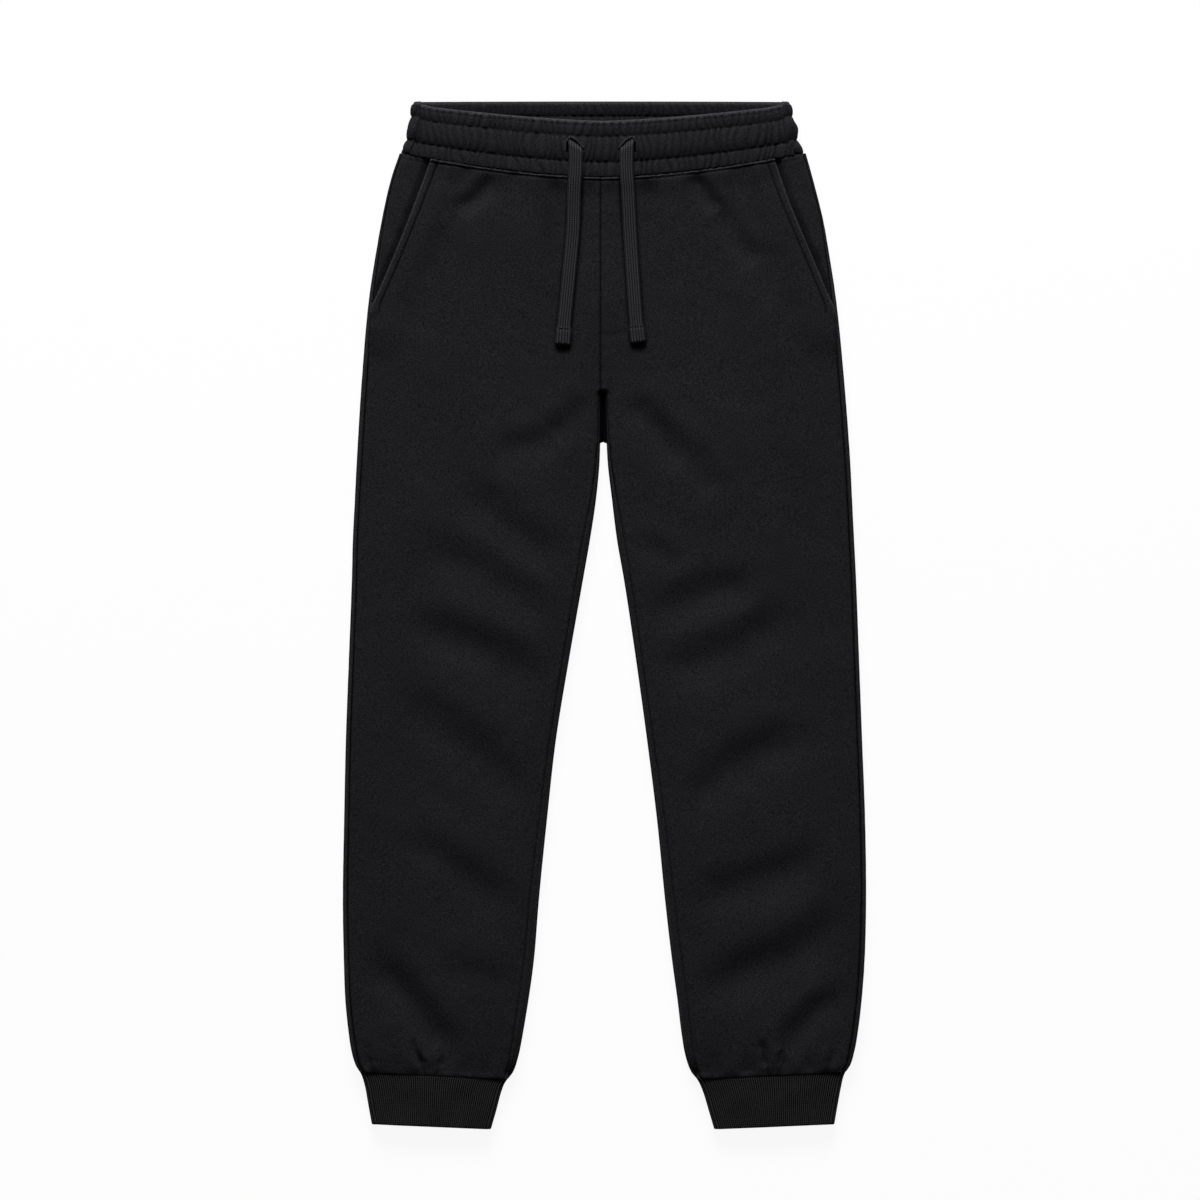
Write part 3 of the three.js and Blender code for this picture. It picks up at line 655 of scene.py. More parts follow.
def front_painted_light(side, out, y, from_inner, from_outer):
    """Painted light on the front: painted shade along its seams, in the crotch slot, at the pinches and
    beside the cord, and a painted highlight on the pocket's folded rim.
    """
    x = SIGN[side] * out
    pocket = smooth(y, POCKET_BOTTOM - 10, POCKET_BOTTOM - 6)
    # painted highlight on the pocket's folded rim, painted shade along its topstitch and along the side
    # seam
    painted_light = 1 + 1.0 * pocket * near(from_outer - 0.6, 0.9) - 0.5 * pocket * near(from_outer - TOPSTITCH, 0.9)
    painted_light = painted_light - 0.4 * (1 - pocket) * near(from_outer, 1.0)
    # painted shade along the centre seam
    joined = smooth(y, CROTCH_FRONT, CROTCH_FRONT + CROTCH_SOFT + 1)
    painted_light = painted_light - 0.5 * joined * near(from_inner, 0.9)
    # painted shade in the crotch pit and along the fold between the legs
    pit = (1 - joined) * smooth(y, CROTCH_FRONT - 1, CROTCH_FRONT) * near(x + 1.3, 1.7)
    painted_light = painted_light * (1 - 0.6 * np.maximum(pit, in_slot(y) * (1 - smooth(from_inner, 0, 1.2))))
    # painted shadow beside each cord end
    for line in CORD_LINES.values():
        beside = from_line(x, y, line["line"]) - CORD_WIDTH / 2
        painted_light = painted_light * (1 - 0.65 * (1 - smooth(beside, 0.3, 4.0)))
    # painted shade along the pinches above the cuffs
    for pinch in PINCH_SHADE_LINES:
        painted_light = painted_light * (1 - 0.4 * near(from_line(x, y, pinch), 2.2))
    return painted_light * waist_painted_light(x, WAIST_SEAM - y)


# Lines of painted shade at the pinches above the cuff seams, where the cloth dives into the stitches.
PINCH_SHADE_LINES = [
    [(-187, -432), (-177, -460)], [(-161, -438), (-172, -461)], [(-236, -438), (-228, -457)],
    [(159, -434), (167, -460)], [(180, -438), (171, -460)], [(226, -440), (221, -456)],
]
# Painted shade of puckers under the waist seam: X of the middle, half the width, length, how dark.
PUCKER_SHADES = [
    (-47, 10, 16, 0.50), (-15.5, 6, 12, 0.45), (6, 8, 14, 0.45), (42, 11, 16, 0.45), (-56, 11, 85, 0.20),
    (46, 12, 60, 0.14), (-96, 9, 9, 0.30), (88, 8, 9, 0.30), (-140, 6, 6, 0.25),
]


def waist_painted_light(x, below):
    """Painted light at the waist seam: thin lines of painted shade on both sides of its ridge, a painted
    highlight on the ridge, and soft painted shade of puckers below it.
    """
    dark = 0.45 * near(below, 0.6) + 0.35 * near(below - 3.6, 0.9) - 1.0 * near(below - 1.7, 0.7)
    # painted shade of each pucker
    for middle, half, length, darkness in PUCKER_SHADES:
        soft = darkness * near(x - middle, half) * near(below - 0.5 * length, 0.55 * length)
        dark = dark + soft * smooth(below, 2.5, 6)
    return 1 - dark


def waist_detail(x, below):
    """The cloth rises to the band. There it has a thin rolled ridge, with short soft gathers below."""
    scallop = 0.25 * swells(x, 0 * x, 9, 30)
    lift = 0.8 * near(below - 1.8 - scallop, 0.9) - 0.4 * near(below, 0.7) - 0.5 * near(below - 4.0, 1.2)
    lift += 1.5 * (1 - smooth(below, 0, 26))
    gathers = swells(x, 0 * x, 34, 33) + 0.6 * swells(x, 0 * x, 17, 34)
    return lift + 0.8 * gathers * smooth(-below, -40, -7) * (1 - near(below, 4))


def ankle_detail(x, above):
    """The leg is eased into the narrower cuff, which leaves small pleats above the seam."""
    pleats = swells(x, 0 * x, 26, 41) + 0.7 * swells(x, 0 * x, 13, 42)
    lift = 0.7 * pleats * (1 - smooth(above, 2, 34)) * (1 - near(above, 4))
    return lift - 0.6 * near(above, 1.3)


def front_panel(side):
    def form(s, t):
        y = row_place(t)
        inner, outer = front_edges(side, y)
        across = s if SIGN[side] > 0 else 1 - s
        out = spread(across, inner, outer)
        lift = front_detail(side, out, y, out - inner, outer - out)
        return *lifted(side, out, y, lift), front_painted_light(side, out, y, out - inner, outer - out)
    piece = bent_grid("front_panel_" + side, 132, 300, form, (0.24, 0.92))
    face_up(piece, True)
    thicken(piece, CLOTH)
    finish_piece(piece, fleece, "front_" + side)
    return piece


fronts = {side: front_panel(side) for side in SIGN}

# %% [markdown]
# ## Pocket facings
# Only a wedge of each facing shows. It is the back of the pocket bag, cut from the same fleece, and
# lies level with the side seam, so the front's folded edge casts a thin shadow on it. A painted
# shadow along that edge deepens it.

# %% The facings
def pocket_facing(side):
    def form(s, t):
        y = mix(POCKET_BOTTOM - 6, WAIST_SEAM - SEAM_GAP, t)
        _, edge = front_edges(side, np.maximum(y, POCKET_BOTTOM + 0.1))
        seam = read(SECTIONS, side + "_outer", y) - read(SECTIONS, "side_seam", y) - SEAM_GAP / 2
        edge = np.minimum(edge, seam)
        across = s if SIGN[side] > 0 else 1 - s
        out = mix(edge - POCKET_LAP + 1, seam, across)
        sunk = 0.25 * swells(SIGN[side] * out, y, 22, 51) - 0.4
        sunk -= 3.0 * (1 - smooth(out - edge, 1, 9)) * smooth(y, POCKET_BOTTOM, POCKET_BOTTOM + 20)
        sunk = sunk * smooth(seam - out, -1, 4) - 0.9 * near(seam - out, 1.3)
        flat = smooth(seam - out, 0, 8)
        # painted shadow of the front's folded edge on the facing, and painted shade along the side seam
        shaded = 0.6 * (1 - smooth(out - edge, 0, 7)) * smooth(y, POCKET_BOTTOM - 2, POCKET_BOTTOM + 12)
        painted_light = (1 - shaded) * (1 - 0.4 * near(seam - out, 1.0)) * waist_painted_light(SIGN[side] * out, WAIST_SEAM - y)
        lift = sunk + flat * waist_detail(SIGN[side] * out, WAIST_SEAM - y)
        return *lifted(side, out, y, lift), painted_light
    piece = bent_grid("facing_" + side, 40, 76, form, (0.08, 0.16))
    face_up(piece, True)
    thicken(piece, CLOTH * 0.8)
    finish_piece(piece, fleece, "pocket_facing_" + side)
    return piece


facings = {side: pocket_facing(side) for side in SIGN}

# %% [markdown]
# ## Backs
# The back is cut wider than the front, so it comes round both folded edges of the leg and shows
# beside it from above. Between the legs the two backs meet in a tight fold, deep in shadow, and
# painted shade darkens that fold further. Painted highlights run along the rolled edges. The form
# is three sections blended along the leg: closed at the centre seam, folded up at the crotch, and
# open as a tube below it.

# %% The backs
def back_panel(side):
    sign = SIGN[side]
    centre = sign * CENTRE_BACK - 0.1

    def form(s, t):
        across = 1 - s if sign > 0 else s
        y = row_place(t)
        outer = read(SECTIONS, side + "_outer", y)
        inner = read(SECTIONS, side + "_inner", y)
        seam = read(SECTIONS, "side_seam", y) - SEAM_GAP / 2
        inseam = read(SECTIONS, "inseam", y) - SEAM_GAP / 2
        # shares of the width: up to 0.16 round the outer edge, and from 0.84 round the inner edge
        q = np.clip(across / 0.16, 0, 1)
        start = np.arccos(np.clip(1 - seam / EDGE, -1, 1))
        angle = mix(start, -math.pi / 2, q)
        edge_out = outer - EDGE + EDGE * np.cos(angle)
        edge_z = np.where(angle > 0, top_height(side, edge_out, row_y(side, edge_out, y, True)),
                          EDGE + EDGE * np.sin(angle))
        p = np.clip((across - 0.84) / 0.16, 0, 1)
        closed = smooth(y, CROTCH_FRONT, CROTCH_FRONT + CROTCH_SOFT)
        folded = smooth(y, CROTCH_BACK - 0.8, CROTCH_BACK + 0.4)
        stop = np.arccos(np.clip(1 - inseam / EDGE, -1, 1))
        turn = mix(-math.pi / 2, stop, p)
        leg_out = inner + EDGE - EDGE * np.cos(turn)
        leg_z = np.where(turn > 0, top_height(side, leg_out, row_y(side, leg_out, y, True)),
                         EDGE + EDGE * np.sin(turn))
        foot = np.clip(p / 0.375, 0, 1)
        rise = np.clip((p - 0.375) / 0.625, 0, 1)
        fold_out = np.where(p < 0.376, mix(centre + EDGE, centre, foot), mix(centre, inner + inseam, rise))
        fold_top = top_height(side, inner + inseam, row_y(side, inner + inseam, y, True))
        fold_z = np.where(p < 0.376, 0, fold_top * np.sin(math.pi / 2 * rise))
        end_out = mix(leg_out, fold_out, folded)
        end_z = mix(leg_z, fold_z, folded)
        shut_out = np.where(p < 0.376, mix(centre + EDGE, centre + 0.2, foot),
                            mix(centre + 0.2, centre, rise))
        end_out = mix(end_out, shut_out, closed)
        end_z = mix(end_z, 0, closed)
        base = mix(mix(inner + EDGE, centre + EDGE, folded), centre + EDGE, closed)
        r = np.clip((across - 0.16) / 0.68, 0, 1)
        flat_out = mix(outer - EDGE, base, r)
        out = np.where(across < 0.16, edge_out, np.where(across > 0.84, end_out, flat_out))
        x = sign * out
        at = row_y(side, out, y, False)
        hollow = np.maximum(0, crease_field(UNDER_CREASES, x, at, 0) + 0.25 * swells(x, at, 70, 61) - 0.1)
        inset = smooth(np.minimum(outer - out, out - mix(inner, -400, closed)), EDGE, EDGE + 28)
        seam_dip = 0.7 * near(out - centre, 1.4) * closed + 0.8 * near(WAIST_SEAM - y, 1.6)
        seam_dip += 0.8 * near(y - CUFF_SEAM, 1.8)
        flat_z = hollow * inset + np.maximum(0, seam_dip)
        z = np.where(across < 0.16, edge_z, np.where(across > 0.84, end_z + flat_z * closed, flat_z))
        ends = near(across, 0.010) + near(1 - across, 0.010) * (1 - closed)
        z = z - 0.9 * ends
        pucker = 0.05 * swells(x, y, 13, 62) * smooth(z, 1, 6)
        slot = in_slot(y) * smooth(across, 0.84, 0.87) * (1 - smooth(rise, 0.60, 0.95))
        bend = np.where(across < 0.16, angle, np.where(across > 0.84, turn, -math.pi / 2))
        in_from_edge = np.where(bend > -0.4, EDGE * (1 - np.cos(bend)), EDGE)
        # painted highlight along each rolled edge, and painted shade where the cloth turns under and at the
        # panel's side edge
        rim = near(in_from_edge - 2.2, 0.9) * (1 - closed * (across > 0.5))
        painted_light = 1 + 0.55 * rim - 0.6 * near(in_from_edge, 0.7) - 0.4 * near(across, 0.006)
        # painted shade in the fold between the legs
        painted_light = painted_light * (1 - 0.94 * slot)
        return x + sign * pucker * near(across, 0.1), at, z, painted_light
    piece = bent_grid("back_panel_" + side, 100, 300, form, (0.28, 0.92))
    face_up(piece, False)
    thicken(piece, CLOTH)
    finish_piece(piece, fleece, "back_" + side)
    return piece


backs = {side: back_panel(side) for side in SIGN}

# %% [markdown]
# ## Waistband
# The band is a wide tube of fleece, stretched over elastic while two rows of stitches were sewn
# through it. When the elastic relaxed, the cloth between the rows gathered into upright pleats and
# bulged. A ring is modelled, whose skin goes up the outside, over the folded top edge and down the
# inside. The pleats are uneven: each has its own seeded random width and fullness.

# %% Gathers
BAND_RINGS = {
    "v": [0.0, 0.15, 0.3, 0.52, 0.75, 0.88, 1.0],
    "right": [203.0, 201.0, 197.4, 195.6, 192.8, 192.6, 191.4],
    "left": [198.2, 196.3, 192.2, 191.2, 187.4, 187.0, 185.4],
}


def pleat_lines(seed, low, high):
    """Places of the valleys between pleats, in millimetres along the band."""
    rng = np.random.default_rng(seed)
    steps = rng.uniform(4.6, 9.6, 2 + int((high - low) / 4.6))
    return low + np.concatenate([[0], np.cumsum(steps)])


def pleats(x, lines):
    """0 in the valleys and about 1 on the crest of each pleat, fuller on a wide one than a narrow one."""
    i = np.clip(np.searchsorted(lines, x) - 1, 0, len(lines) - 2)
    width = lines[i + 1] - lines[i]
    q = (x - lines[i]) / width
    return np.sin(math.pi * np.clip(q, 0, 1)) ** 0.8 * (0.5 + 0.07 * width)


PLEATS = [pleat_lines(71 + k, -260, 700) for k in range(3)]
# Each channel between rows of stitches: where up the band it starts and ends, and its bulge.
CHANNELS = [(0.0, 0.3, 1.1), (0.3, 0.75, 2.3), (0.75, 1.0, 1.0)]


def band_relief(x, v):
    """How far the band bulges between its rows of stitches with its pleats, and its painted light:
    painted shade at the rows, low in each channel and in the pleats' valleys, and a painted highlight
    along its top fold.
    """
    relief = np.zeros_like(x)
    # painted shade at the rows of stitches
    painted_light = np.full_like(x, 0.6)
    for k, (low, high, bulge) in enumerate(CHANNELS):
        q = np.clip((v - low) / (high - low), 0, 1)
        inside = (v >= low) & (v <= high)
        dome = np.sin(math.pi * q) ** 0.5
        warp = x + 2.2 * swells(x, 40 * v, 30, 81 + k)
        depth = 1.35 + 0.5 * swells(x, 30 * v, 45, 91 + k)
        rounded = np.minimum(1, 14 * q * (1 - q))
        crest = pleats(warp, PLEATS[k])
        relief = np.where(inside, dome * bulge + rounded * depth * (crest - 0.5), relief)
        # painted shade low in each channel and in the valleys between pleats
        domed = mix(0.70, 0.93, smooth(q, 0.05, 0.5))
        painted_light = np.where(inside, mix(0.6, domed * mix(0.75, 1.06, crest), rounded), painted_light)
    from_top = (1 - v) * 52
    ends = smooth(190 - np.abs(x - WAIST_MIDDLE), 0, 16)
    relief = relief * smooth(from_top, -0.5, 2.0)
    relief = relief + ends * (0.8 * near(from_top, 1.1) - 0.4 * near(from_top - 3.0, 1.2))
    # painted highlight along the band's top fold
    return relief - 0.5, mix(painted_light, 2.3, near(from_top + 0.3, 1.0))


# %% The slits for the cord
# Each slit is an arch. Its lip rises from the outer side over the top and slants down to the middle.
SLIT_LIPS = {
    "right": [(-38.9, 464.0), (-38.6, 471.5), (-34.4, 477.2), (-28.4, 474.2), (-21.2, 466.4)],
    "left": [(32.3, 464.0), (31.8, 471.5), (27.8, 477.4), (21.8, 474.4), (14.6, 466.4)],
}
SLIT_MOUTHS = {
    "right": [(-37.0, 463.0), (-36.7, 470.8), (-33.8, 474.8), (-29.3, 472.2), (-22.0, 464.4)],
    "left": [(30.3, 463.0), (29.9, 470.8), (27.2, 475.0), (22.7, 472.4), (15.4, 464.4)],
}


def slit_relief(x, y):
    """The cloth parts at each slit: a deep mouth under a raised lip."""
    lips = sum(near(from_line(x, y, line), 1.0) for line in SLIT_LIPS.values())
    mouths = sum(1 - smooth(from_line(x, y, line), 0.5, 1.6) for line in SLIT_MOUTHS.values())
    return 1.0 * lips - 5.0 * mouths, np.clip(mouths, 0, 1), np.clip(lips, 0, 1)


# %% The band
BAND_COLUMNS = 900
BAND_SKIN = 100
TUCK = 2.5


def band_point(s, v, depth, beyond):
    """A point of the band: s goes round it, v up it, depth is into its wall, beyond past its edge."""
    right = read(BAND_RINGS, "right", v, "v")
    left = read(BAND_RINGS, "left", v, "v")
    # shares of the ring: 0.60 front, 0.04 left end, 0.32 back, 0.04 right end
    f = np.clip(s / 0.60, 0, 1)
    e = np.clip((s - 0.60) / 0.04, 0, 1)
    b = np.clip((s - 0.64) / 0.32, 0, 1)
    g = np.clip((s - 0.96) / 0.04, 0, 1)
    x_front = mix(-right + BAND_EDGE, left - BAND_EDGE, f)
    x_back = mix(left - BAND_EDGE, -right + BAND_EDGE, b)
    turn_left = math.pi / 2 - math.pi * e
    turn_right = -math.pi / 2 - math.pi * g
    on_front, on_left, on_back = s < 0.60, (s >= 0.60) & (s < 0.64), (s >= 0.64) & (s < 0.96)
    angle = np.where(on_front, math.pi / 2,
                     np.where(on_left, turn_left, np.where(on_back, -math.pi / 2, turn_right)))
    middle = np.where(on_front, x_front, np.where(on_left, left - BAND_EDGE,
                                                   np.where(on_back, x_back, -right + BAND_EDGE)))
    nx, nz = np.cos(angle), np.sin(angle)
    length_round = np.where(on_front, x_front,
                            np.where(on_left, left + 14 * e,
                                     np.where(on_back, left + 40 + 380 * b, -right - 14 * (1 - g))))
    relief, painted_light = band_relief(length_round, v)
    from_end = np.minimum(x_front + right, left - x_front)
    crown = np.where(on_front, (BAND_HEIGHT - 2 * BAND_EDGE) * swell(from_end), 0)
    seam = WAIST_SEAM - np.where(on_front, WAIST_SEAM_DIP * bow(x_front), 0)
    top = BAND_TOP - 2 - np.where(on_front, BAND_TOP_DIP * bow(x_front, 1.45), 0)
    top = top + np.where(on_front, 2 * (1 - smooth(from_end, 0, 25)),
                         2 + np.where(on_back, 2 * b * (1 - b), 0))
    y = mix(seam - TUCK, top, v) + beyond
    above_seam = v * (top - seam + TUCK) - TUCK
    bottom = smooth(-nz, 0.5, 1.0)
    out = mix(relief, 0, bottom) - depth - 2.9 * (1 - smooth(above_seam, -1.6, 0.2)) * (1 - bottom)
    inside_share = bottom * depth / BAND_WALL
    z = BAND_EDGE + nz * (BAND_EDGE + out) + crown + bottom * 1.0 + inside_share * relief
    slit, mouth, lip = slit_relief(middle, y)
    z = np.where(on_front, z + slit, z)
    # painted highlight on each slit's lip and painted shadow in its mouth
    painted_light = np.where(on_front, mix(mix(painted_light, 1.5, lip), 0.05, mouth), painted_light)
    # painted shade on the band's inner face
    painted_light = painted_light * (1 - 0.22 * smooth(depth, 2, 4))
    return middle + nx * (BAND_EDGE + out), y, np.maximum(z, 0), painted_light


def band_form(s, t):
    # shares of the skin: 0.58 outside, 0.06 over the top edge, 0.32 inside, 0.04 under the seam edge
    v_out = np.clip(t / 0.58, 0, 1)
    over = np.clip((t - 0.58) / 0.06, 0, 1)
    v_in = 1 - np.clip((t - 0.64) / 0.32, 0, 1)
    under = np.clip((t - 0.96) / 0.04, 0, 1)
    half = BAND_WALL / 2
    is_out, is_over, is_in = t < 0.58, (t >= 0.58) & (t < 0.64), (t >= 0.64) & (t < 0.96)
    v = np.where(is_out, v_out, np.where(is_over, 1.0, np.where(is_in, v_in, 0.0)))
    depth = np.where(is_out, 0, np.where(is_over, half - half * np.cos(math.pi * over),
                                         np.where(is_in, BAND_WALL, BAND_WALL * (1 - under))))
    beyond = np.where(is_over, half * np.sin(math.pi * over), 0)
    return band_point(s, v, depth, beyond)


band = bent_grid("gathered_band", BAND_COLUMNS, BAND_SKIN, band_form, (0.80, 0.11))
weld(band)
finish_piece(band, band_cloth, "waistband")

# %% [markdown]
# ## Cuffs
# Rib knit is made of upright ribs that close up like a bellows, which is what lets a cuff grip the
# ankle. Ribs about 2.4 mm apart can be modelled as real ridges, so the cuff's edge and its opening
# show them too.

# %% The cuffs
CUFF_RINGS = {
    "w": [0.0, 0.13, 0.32, 0.65, 1.0],
    "right_outer": [245.5, 242.0, 239.0, 235.8, 232.4],
    "right_inner": [94.6, 99.6, 103.6, 108.2, 113.4],
    "left_outer": [241.8, 238.6, 236.2, 232.8, 229.6],
    "left_inner": [90.6, 94.8, 99.0, 104.2, 109.6],
}


def cuff(side):
    def skin(s, w, depth, beyond):
        outer = read(CUFF_RINGS, side + "_outer", w, "w")
        inner = read(CUFF_RINGS, side + "_inner", w, "w")
        # shares of the ring: 0.46 top, 0.04 inner end, 0.46 underside, 0.04 outer end
        a = np.clip(s / 0.46, 0, 1)
        e = np.clip((s - 0.46) / 0.04, 0, 1)
        b = np.clip((s - 0.50) / 0.46, 0, 1)
        g = np.clip((s - 0.96) / 0.04, 0, 1)
        top, end_in, under = s < 0.46, (s >= 0.46) & (s < 0.50), (s >= 0.50) & (s < 0.96)
        middle = np.where(top, mix(outer - CUFF_EDGE, inner + CUFF_EDGE, a),
                          np.where(end_in, inner + CUFF_EDGE,
                                   np.where(under, mix(inner + CUFF_EDGE, outer - CUFF_EDGE, b),
                                            outer - CUFF_EDGE)))
        angle = np.where(top, math.pi / 2,
                         np.where(end_in, math.pi / 2 + math.pi * e,
                                  np.where(under, -math.pi / 2, -math.pi / 2 + math.pi * g)))
        no, nz = np.cos(angle), np.sin(angle)
        ribs = np.abs(np.sin(math.pi * RIBS_ROUND * s)) ** 0.7
        crown = np.where(top, (CUFF_HEIGHT - 2 * CUFF_EDGE) * np.sin(math.pi * a) ** 0.6, 0)
        across = (outer - middle) / (outer - inner)
        seam = CUFF_SEAM + TUCK - CUFF_SEAM_SLANT * across
        hem = CUFF_HEM + 1.5 - CUFF_HEM_SLANT * across
        y = mix(seam, hem, w) - beyond
        dent = 1.7 * (1 - smooth(w * 54, 0.8, TUCK + 1.2))
        fold = 0.5 * swells(SIGN[side] * middle, y, 45, 101) * smooth(w, 0.1, 0.5)
        out = CUFF_EDGE - depth + np.where(under, -0.8 * (1 - ribs),
                                           1.3 * (ribs - 0.7) - dent * np.abs(nz) + fold * nz)
        z = CUFF_EDGE + nz * out + crown
        return SIGN[side] * (middle + no * out), y, np.maximum(z, 0)

    def form(s, t):
        # shares of the skin: 0.60 outside, 0.10 round the hem, 0.26 inside, 0.04 at the seam
        w_out = np.clip(t / 0.60, 0, 1)
        over = np.clip((t - 0.60) / 0.10, 0, 1)
        w_in = 1 - np.clip((t - 0.70) / 0.26, 0, 1)
        under = np.clip((t - 0.96) / 0.04, 0, 1)
        half = CUFF_WALL / 2
        is_out, is_over, is_in = t < 0.60, (t >= 0.60) & (t < 0.70), (t >= 0.70) & (t < 0.96)
        w = np.where(is_out, w_out, np.where(is_over, 1.0, np.where(is_in, w_in, 0.0)))
        depth = np.where(is_out, 0, np.where(is_over, half - half * np.cos(math.pi * over),
                                             np.where(is_in, CUFF_WALL, CUFF_WALL * (1 - under))))
        beyond = np.where(is_over, half * np.sin(math.pi * over), 0)
        return skin(s, w, depth, beyond)

    piece = bent_grid("rib_cuff_" + side, 756, 44, form, (RIBS_ROUND * RIB_PITCH, 0.12))
    weld(piece)
    finish_piece(piece, rib, "cuff_" + side)
    return piece


cuffs = {side: cuff(side) for side in SIGN}

# %% [markdown]
# ## Drawcord
# The cord is a flat braid, 13 mm wide. Each end leaves its slit on the slant, so the cord's outer
# corner shows first. It then hangs down the front as it fell, and ends in a short fold that is
# stitched down. A ribbon cross-section is carried along a smooth line through given points.

# %% The cord's sizes
CORD_THICK = 2.4
CORD_TIP = 17.0
CORD_CLEAR = 0.9

# %% The surface under a cord
def under_cord(x, y):
    """Height of what the cord lies on: the band's bulges, then the crown of the fronts."""
    seam = WAIST_SEAM - WAIST_SEAM_DIP * bow(x)
    body = np.where(x < 0, top_height("right", -x, y), top_height("left", x, y))
    body = body + 0.4 + 1.5 * (1 - smooth(seam - y, 0, 60))
    on_band = BAND_HEIGHT + 3.0
    return mix(body, on_band, smooth(y, seam - 16, seam + 3))


def smooth_line(points, per_span=60):
    """A centripetal Catmull-Rom curve through the points, in equal steps of length."""
    p = np.asarray(points, float)
    p = np.vstack([2 * p[0] - p[1], p, 2 * p[-1] - p[-2]])
    knots = np.concatenate([[0], np.cumsum(np.sqrt(np.linalg.norm(np.diff(p, axis=0), axis=1)))])
    out = []
    for i in range(1, len(p) - 2):
        t = np.linspace(knots[i], knots[i + 1], per_span, endpoint=False)[:, None]
        t0, t1, t2, t3 = knots[i - 1:i + 3]
        a1 = (t1 - t) / (t1 - t0) * p[i - 1] + (t - t0) / (t1 - t0) * p[i]
        a2 = (t2 - t) / (t2 - t1) * p[i] + (t - t1) / (t2 - t1) * p[i + 1]
        a3 = (t3 - t) / (t3 - t2) * p[i + 1] + (t - t2) / (t3 - t2) * p[i + 2]
        b1 = (t2 - t) / (t2 - t0) * a1 + (t - t0) / (t2 - t0) * a2
        b2 = (t3 - t) / (t3 - t1) * a2 + (t - t1) / (t3 - t1) * a3
        out.append((t2 - t) / (t2 - t1) * b1 + (t - t1) / (t2 - t1) * b2)
    return np.vstack(out + [p[-2:-1]])


def cord_route(side):
    """The middle line of one cord end, from inside its slit to its tip, in millimetres."""
    slit_x, slit_y = CORD_LINES[side]["slit"]
    points = [(slit_x, slit_y + 1.5), (slit_x, slit_y - 4.5)] + CORD_LINES[side]["line"]
    flat = smooth_line(points)
    x, y = flat[:, 0], flat[:, 1]
    across = np.linspace(-CORD_WIDTH / 2, CORD_WIDTH / 2, 5)
    floor_z = np.max([under_cord(x + step, y) for step in across], axis=0)
    window = 41
    padded_z = np.pad(floor_z, window // 2, mode="edge")
    high = np.max([padded_z[i:i + len(floor_z)] for i in range(window)], axis=0)
    smooth_z = np.convolve(np.pad(high, window // 2, mode="edge"), np.ones(window) / window, "valid")
    return np.stack([x, y, smooth_z + CORD_CLEAR + CORD_THICK / 2], 1)


# %% The cord's section and its two ends
CORD_UV_ROUND = CORD_WIDTH * MM / 0.46
CORD_RINGS = 150
CORD_SECTION = 75


def cord_piece(side):
    route = cord_route(side)
    steps = np.linalg.norm(np.diff(route, axis=0), axis=1)
    run = np.concatenate([[0], np.cumsum(steps)])
    total = run[-1]
    slant = CORD_LINES[side]["slant"]

    def form(s, t):
        length = t * total
        x, y, z = (np.interp(length, run, route[:, k]) for k in range(3))
        ahead = [np.interp(length + 1, run, route[:, k]) - np.interp(length - 1, run, route[:, k])
                 for k in range(2)]
        size = np.hypot(*ahead)
        side_x, side_y = -ahead[1] / size, ahead[0] / size
        tip = smooth(length, total - CORD_TIP - 0.6, total - CORD_TIP + 0.6)
        seam = near(length - (total - CORD_TIP + 1.8), 0.7)
        half = CORD_WIDTH / 2 + 0.4 + 0.9 * tip
        thick = CORD_THICK / 2 + 0.5 * tip - 0.7 * seam
        rounded = roll(total - length, 1.1)
        corner = 1.6 * (1 - roll(total - length, 1.8))
        # the section: across the top, round one edge, back under, and round the other edge
        top = s < 0.46
        under = (s >= 0.5) & (s < 0.96)
        turn = math.pi * np.where(s < 0.5, (s - 0.46) / 0.04, (s - 0.96) / 0.04)
        across = np.where(top, s / 0.23 - 1, np.where(under, 1 - (s - 0.5) / 0.23, 1.0))
        across = np.where(s >= 0.96, -1.0, across)
        round_off = np.where(top | under, 0, np.sin(turn) * np.where(s < 0.5, 0.9, -0.9))
        up = np.where(top, 1.0, np.where(under, -1.0, np.where(s < 0.5, np.cos(turn), -np.cos(turn))))
        wale = 0.30 * (np.abs(np.sin(math.pi * WALES / 2 * (across + 1))) ** 0.7 - 0.5)
        wale = wale * (top | under) * (1 - 0.6 * tip)
        weave = 0.15 * np.sin(2 * math.pi * length / 2.3 + math.pi * np.floor((across + 1) * WALES / 2))
        bow_up = 0.35 * (1 - across ** 2)
        off = across * (half - 0.9 - corner) + round_off
        rise = up * (thick + wale + weave * top) * rounded + bow_up - 0.2
        px = x + side_x * off
        py = y + side_y * off
        # the mouth of the slit runs on the slant, and the cord dives into it along that line
        slit_x, slit_y = CORD_LINES[side]["slit"]
        below = (slit_y - 5.2) + slant * 0.62 * (px - slit_x) - py
        dive = 6.6 * (1 - smooth(below, -3.5, 3.6)) * (1 - smooth(length, 16, 24))
        curl = 0.8 * near(length - total, 26) * across * slant
        return px, py, z + rise - dive + np.maximum(curl, 0)

    piece = bent_grid("flat_cord_" + side, CORD_SECTION, CORD_RINGS, form, (CORD_UV_ROUND, total * MM))
    bpy.ops.object.mode_set(mode="EDIT")
    bpy.ops.mesh.select_all(action="SELECT")
    bpy.ops.mesh.remove_doubles(threshold=0.00002)
    bpy.ops.mesh.select_all(action="SELECT")
    bpy.ops.mesh.fill_holes(sides=CORD_SECTION * 2)
    bpy.ops.mesh.select_all(action="SELECT")
    bpy.ops.mesh.normals_make_consistent(inside=False)
    bpy.ops.object.mode_set(mode="OBJECT")
    finish_piece(piece, braid, "drawcord_" + side)
    path = route[::12].tolist()
    if path[-1] != route[-1].tolist():
        path.append(route[-1].tolist())
    print("cord end", side, "is", round(total), "mm long")
    return piece


for side in SIGN:
    cord_piece(side)

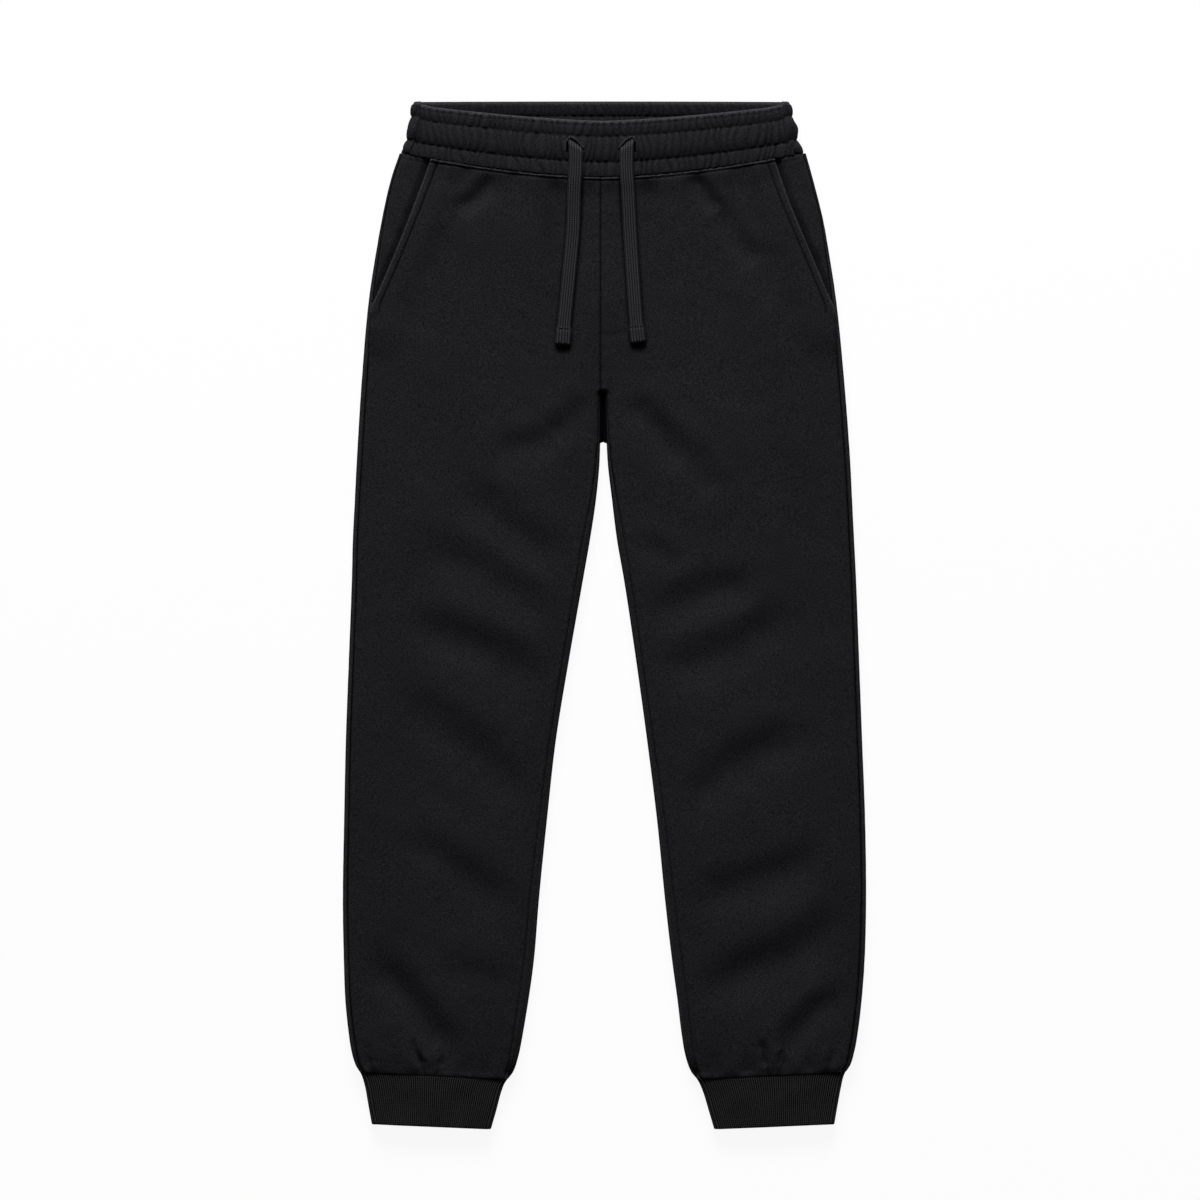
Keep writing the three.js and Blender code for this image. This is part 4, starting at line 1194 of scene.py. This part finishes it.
# %% [markdown]
# ## Stitches
# Thread is sewn in short lengths that sink at both ends. One stitch is modelled as a small spindle
# and then set along each line of sewing, and each line's stitches are joined into one mesh.

# %% A line of stitches
def stitch_shape():
    """The points and faces of one spindle, one unit long and one unit thick."""
    bpy.ops.object.select_all(action="DESELECT")
    bpy.ops.mesh.primitive_uv_sphere_add(segments=6, ring_count=4, radius=0.5)
    seed = bpy.context.object
    points = np.array([v.co[:] for v in seed.data.vertices])
    faces = [list(p.vertices) for p in seed.data.polygons]
    bpy.data.meshes.remove(seed.data)
    return points[:, [2, 0, 1]], faces


SPINDLE, SPINDLE_FACES = stitch_shape()


def sew(name, lines, pitch=3.2, gauge=0.42):
    """Stitches along lines of points in millimetres, as one joined mesh."""
    points, faces = [], []
    for line in lines:
        line = np.asarray(line, float)
        run = np.concatenate([[0], np.cumsum(np.linalg.norm(np.diff(line, axis=0), axis=1))])
        for k in range(int(run[-1] / pitch)):
            a, b = (k + 0.14) * pitch, (k + 0.86) * pitch
            start = np.array([np.interp(a, run, line[:, i]) for i in range(3)])
            end = np.array([np.interp(b, run, line[:, i]) for i in range(3)])
            ahead = end - start
            length = np.linalg.norm(ahead)
            ahead /= length
            aside = np.cross([0, 0, 1], ahead)
            aside /= np.linalg.norm(aside)
            up = np.cross(ahead, aside)
            middle = (start + end) / 2
            base = len(points)
            for p in SPINDLE:
                points.append(middle + ahead * p[0] * length + aside * p[1] * gauge + up * p[2] * gauge)
            faces += [[base + i for i in face] for face in SPINDLE_FACES]
    mesh = bpy.data.meshes.new(name)
    mesh.from_pydata([tuple(p * MM) for p in points], [], faces)
    piece = bpy.data.objects.new(name, mesh)
    bpy.context.collection.objects.link(piece)
    bpy.ops.object.select_all(action="DESELECT")
    bpy.context.view_layer.objects.active = piece
    piece.select_set(True)
    finish_piece(piece, thread, None)
    return piece


# %% Lines of sewing on the fronts
def on_front(side, from_edge, y, raise_by=0.12, edge="outer"):
    """Points on the front, a given distance in from its inner or outer edge."""
    y = np.asarray(y, float)
    inner, outer = front_edges(side, y)
    out = outer - from_edge if edge == "outer" else inner + from_edge
    lift = front_detail(side, out, y, out - inner, outer - out) + raise_by
    return np.stack(lifted(side, out, y, lift), 1)


for side in SIGN:
    pocket_rows = np.linspace(WAIST_SEAM - 5, POCKET_BOTTOM - 5, 120)
    bar_steps = np.linspace(0.8, TOPSTITCH, 12)
    bar = np.vstack([on_front(side, step, [POCKET_BOTTOM - 8.0 + 0.5 * step]) for step in bar_steps])
    sew("pocket_topstitch_" + side, [on_front(side, TOPSTITCH, pocket_rows), bar], pitch=3.0)

centre_rows = np.linspace(WAIST_SEAM - 5, CROTCH_FRONT + 14, 140)
sew("centre_topstitch", [on_front("left", 3.2, centre_rows, edge="inner")], pitch=3.0)
turn = np.linspace(0, math.pi / 2, 16)
fly_y = FLY_BOTTOM + 7 * (1 - np.cos(turn))
fly = np.vstack([on_front("left", 4.5 + 24 * math.sin(a), [y], edge="inner") for a, y in zip(turn, fly_y)])
sew("fly_topstitch", [fly], pitch=3.0)

# %% Stitches round the band
def band_line(v, count=520):
    """Points on the band's front and ends along one of its rows of stitches."""
    s = np.concatenate([np.linspace(0.97, 1.0, 12, endpoint=False), np.linspace(0, 0.63, count)])
    x, y, z, _ = band_point(s, np.full_like(s, v), np.full_like(s, -0.15), np.zeros_like(s))
    return np.stack([x, y, z], 1)


sew("band_stitches", [band_line(0.30), band_line(0.75)], pitch=3.4, gauge=0.5)

# %% [markdown]
# ## What each sheet was cut to
# Every panel of cloth prints the area it covers beside the flat area it was cut to, in square metres.

# %% Sheets
def cut_of(piece, area):
    measured = sum(p.area for p in piece.data.polygons) / 2
    print(piece.name, "covers", round(measured, 4), "square metres, cut", area)


for side in SIGN:
    cut_of(fronts[side], 0.175)
    cut_of(backs[side], 0.215)
    cut_of(facings[side], 0.0062)
    cut_of(cuffs[side], 0.0160)
cut_of(band, 0.0590)
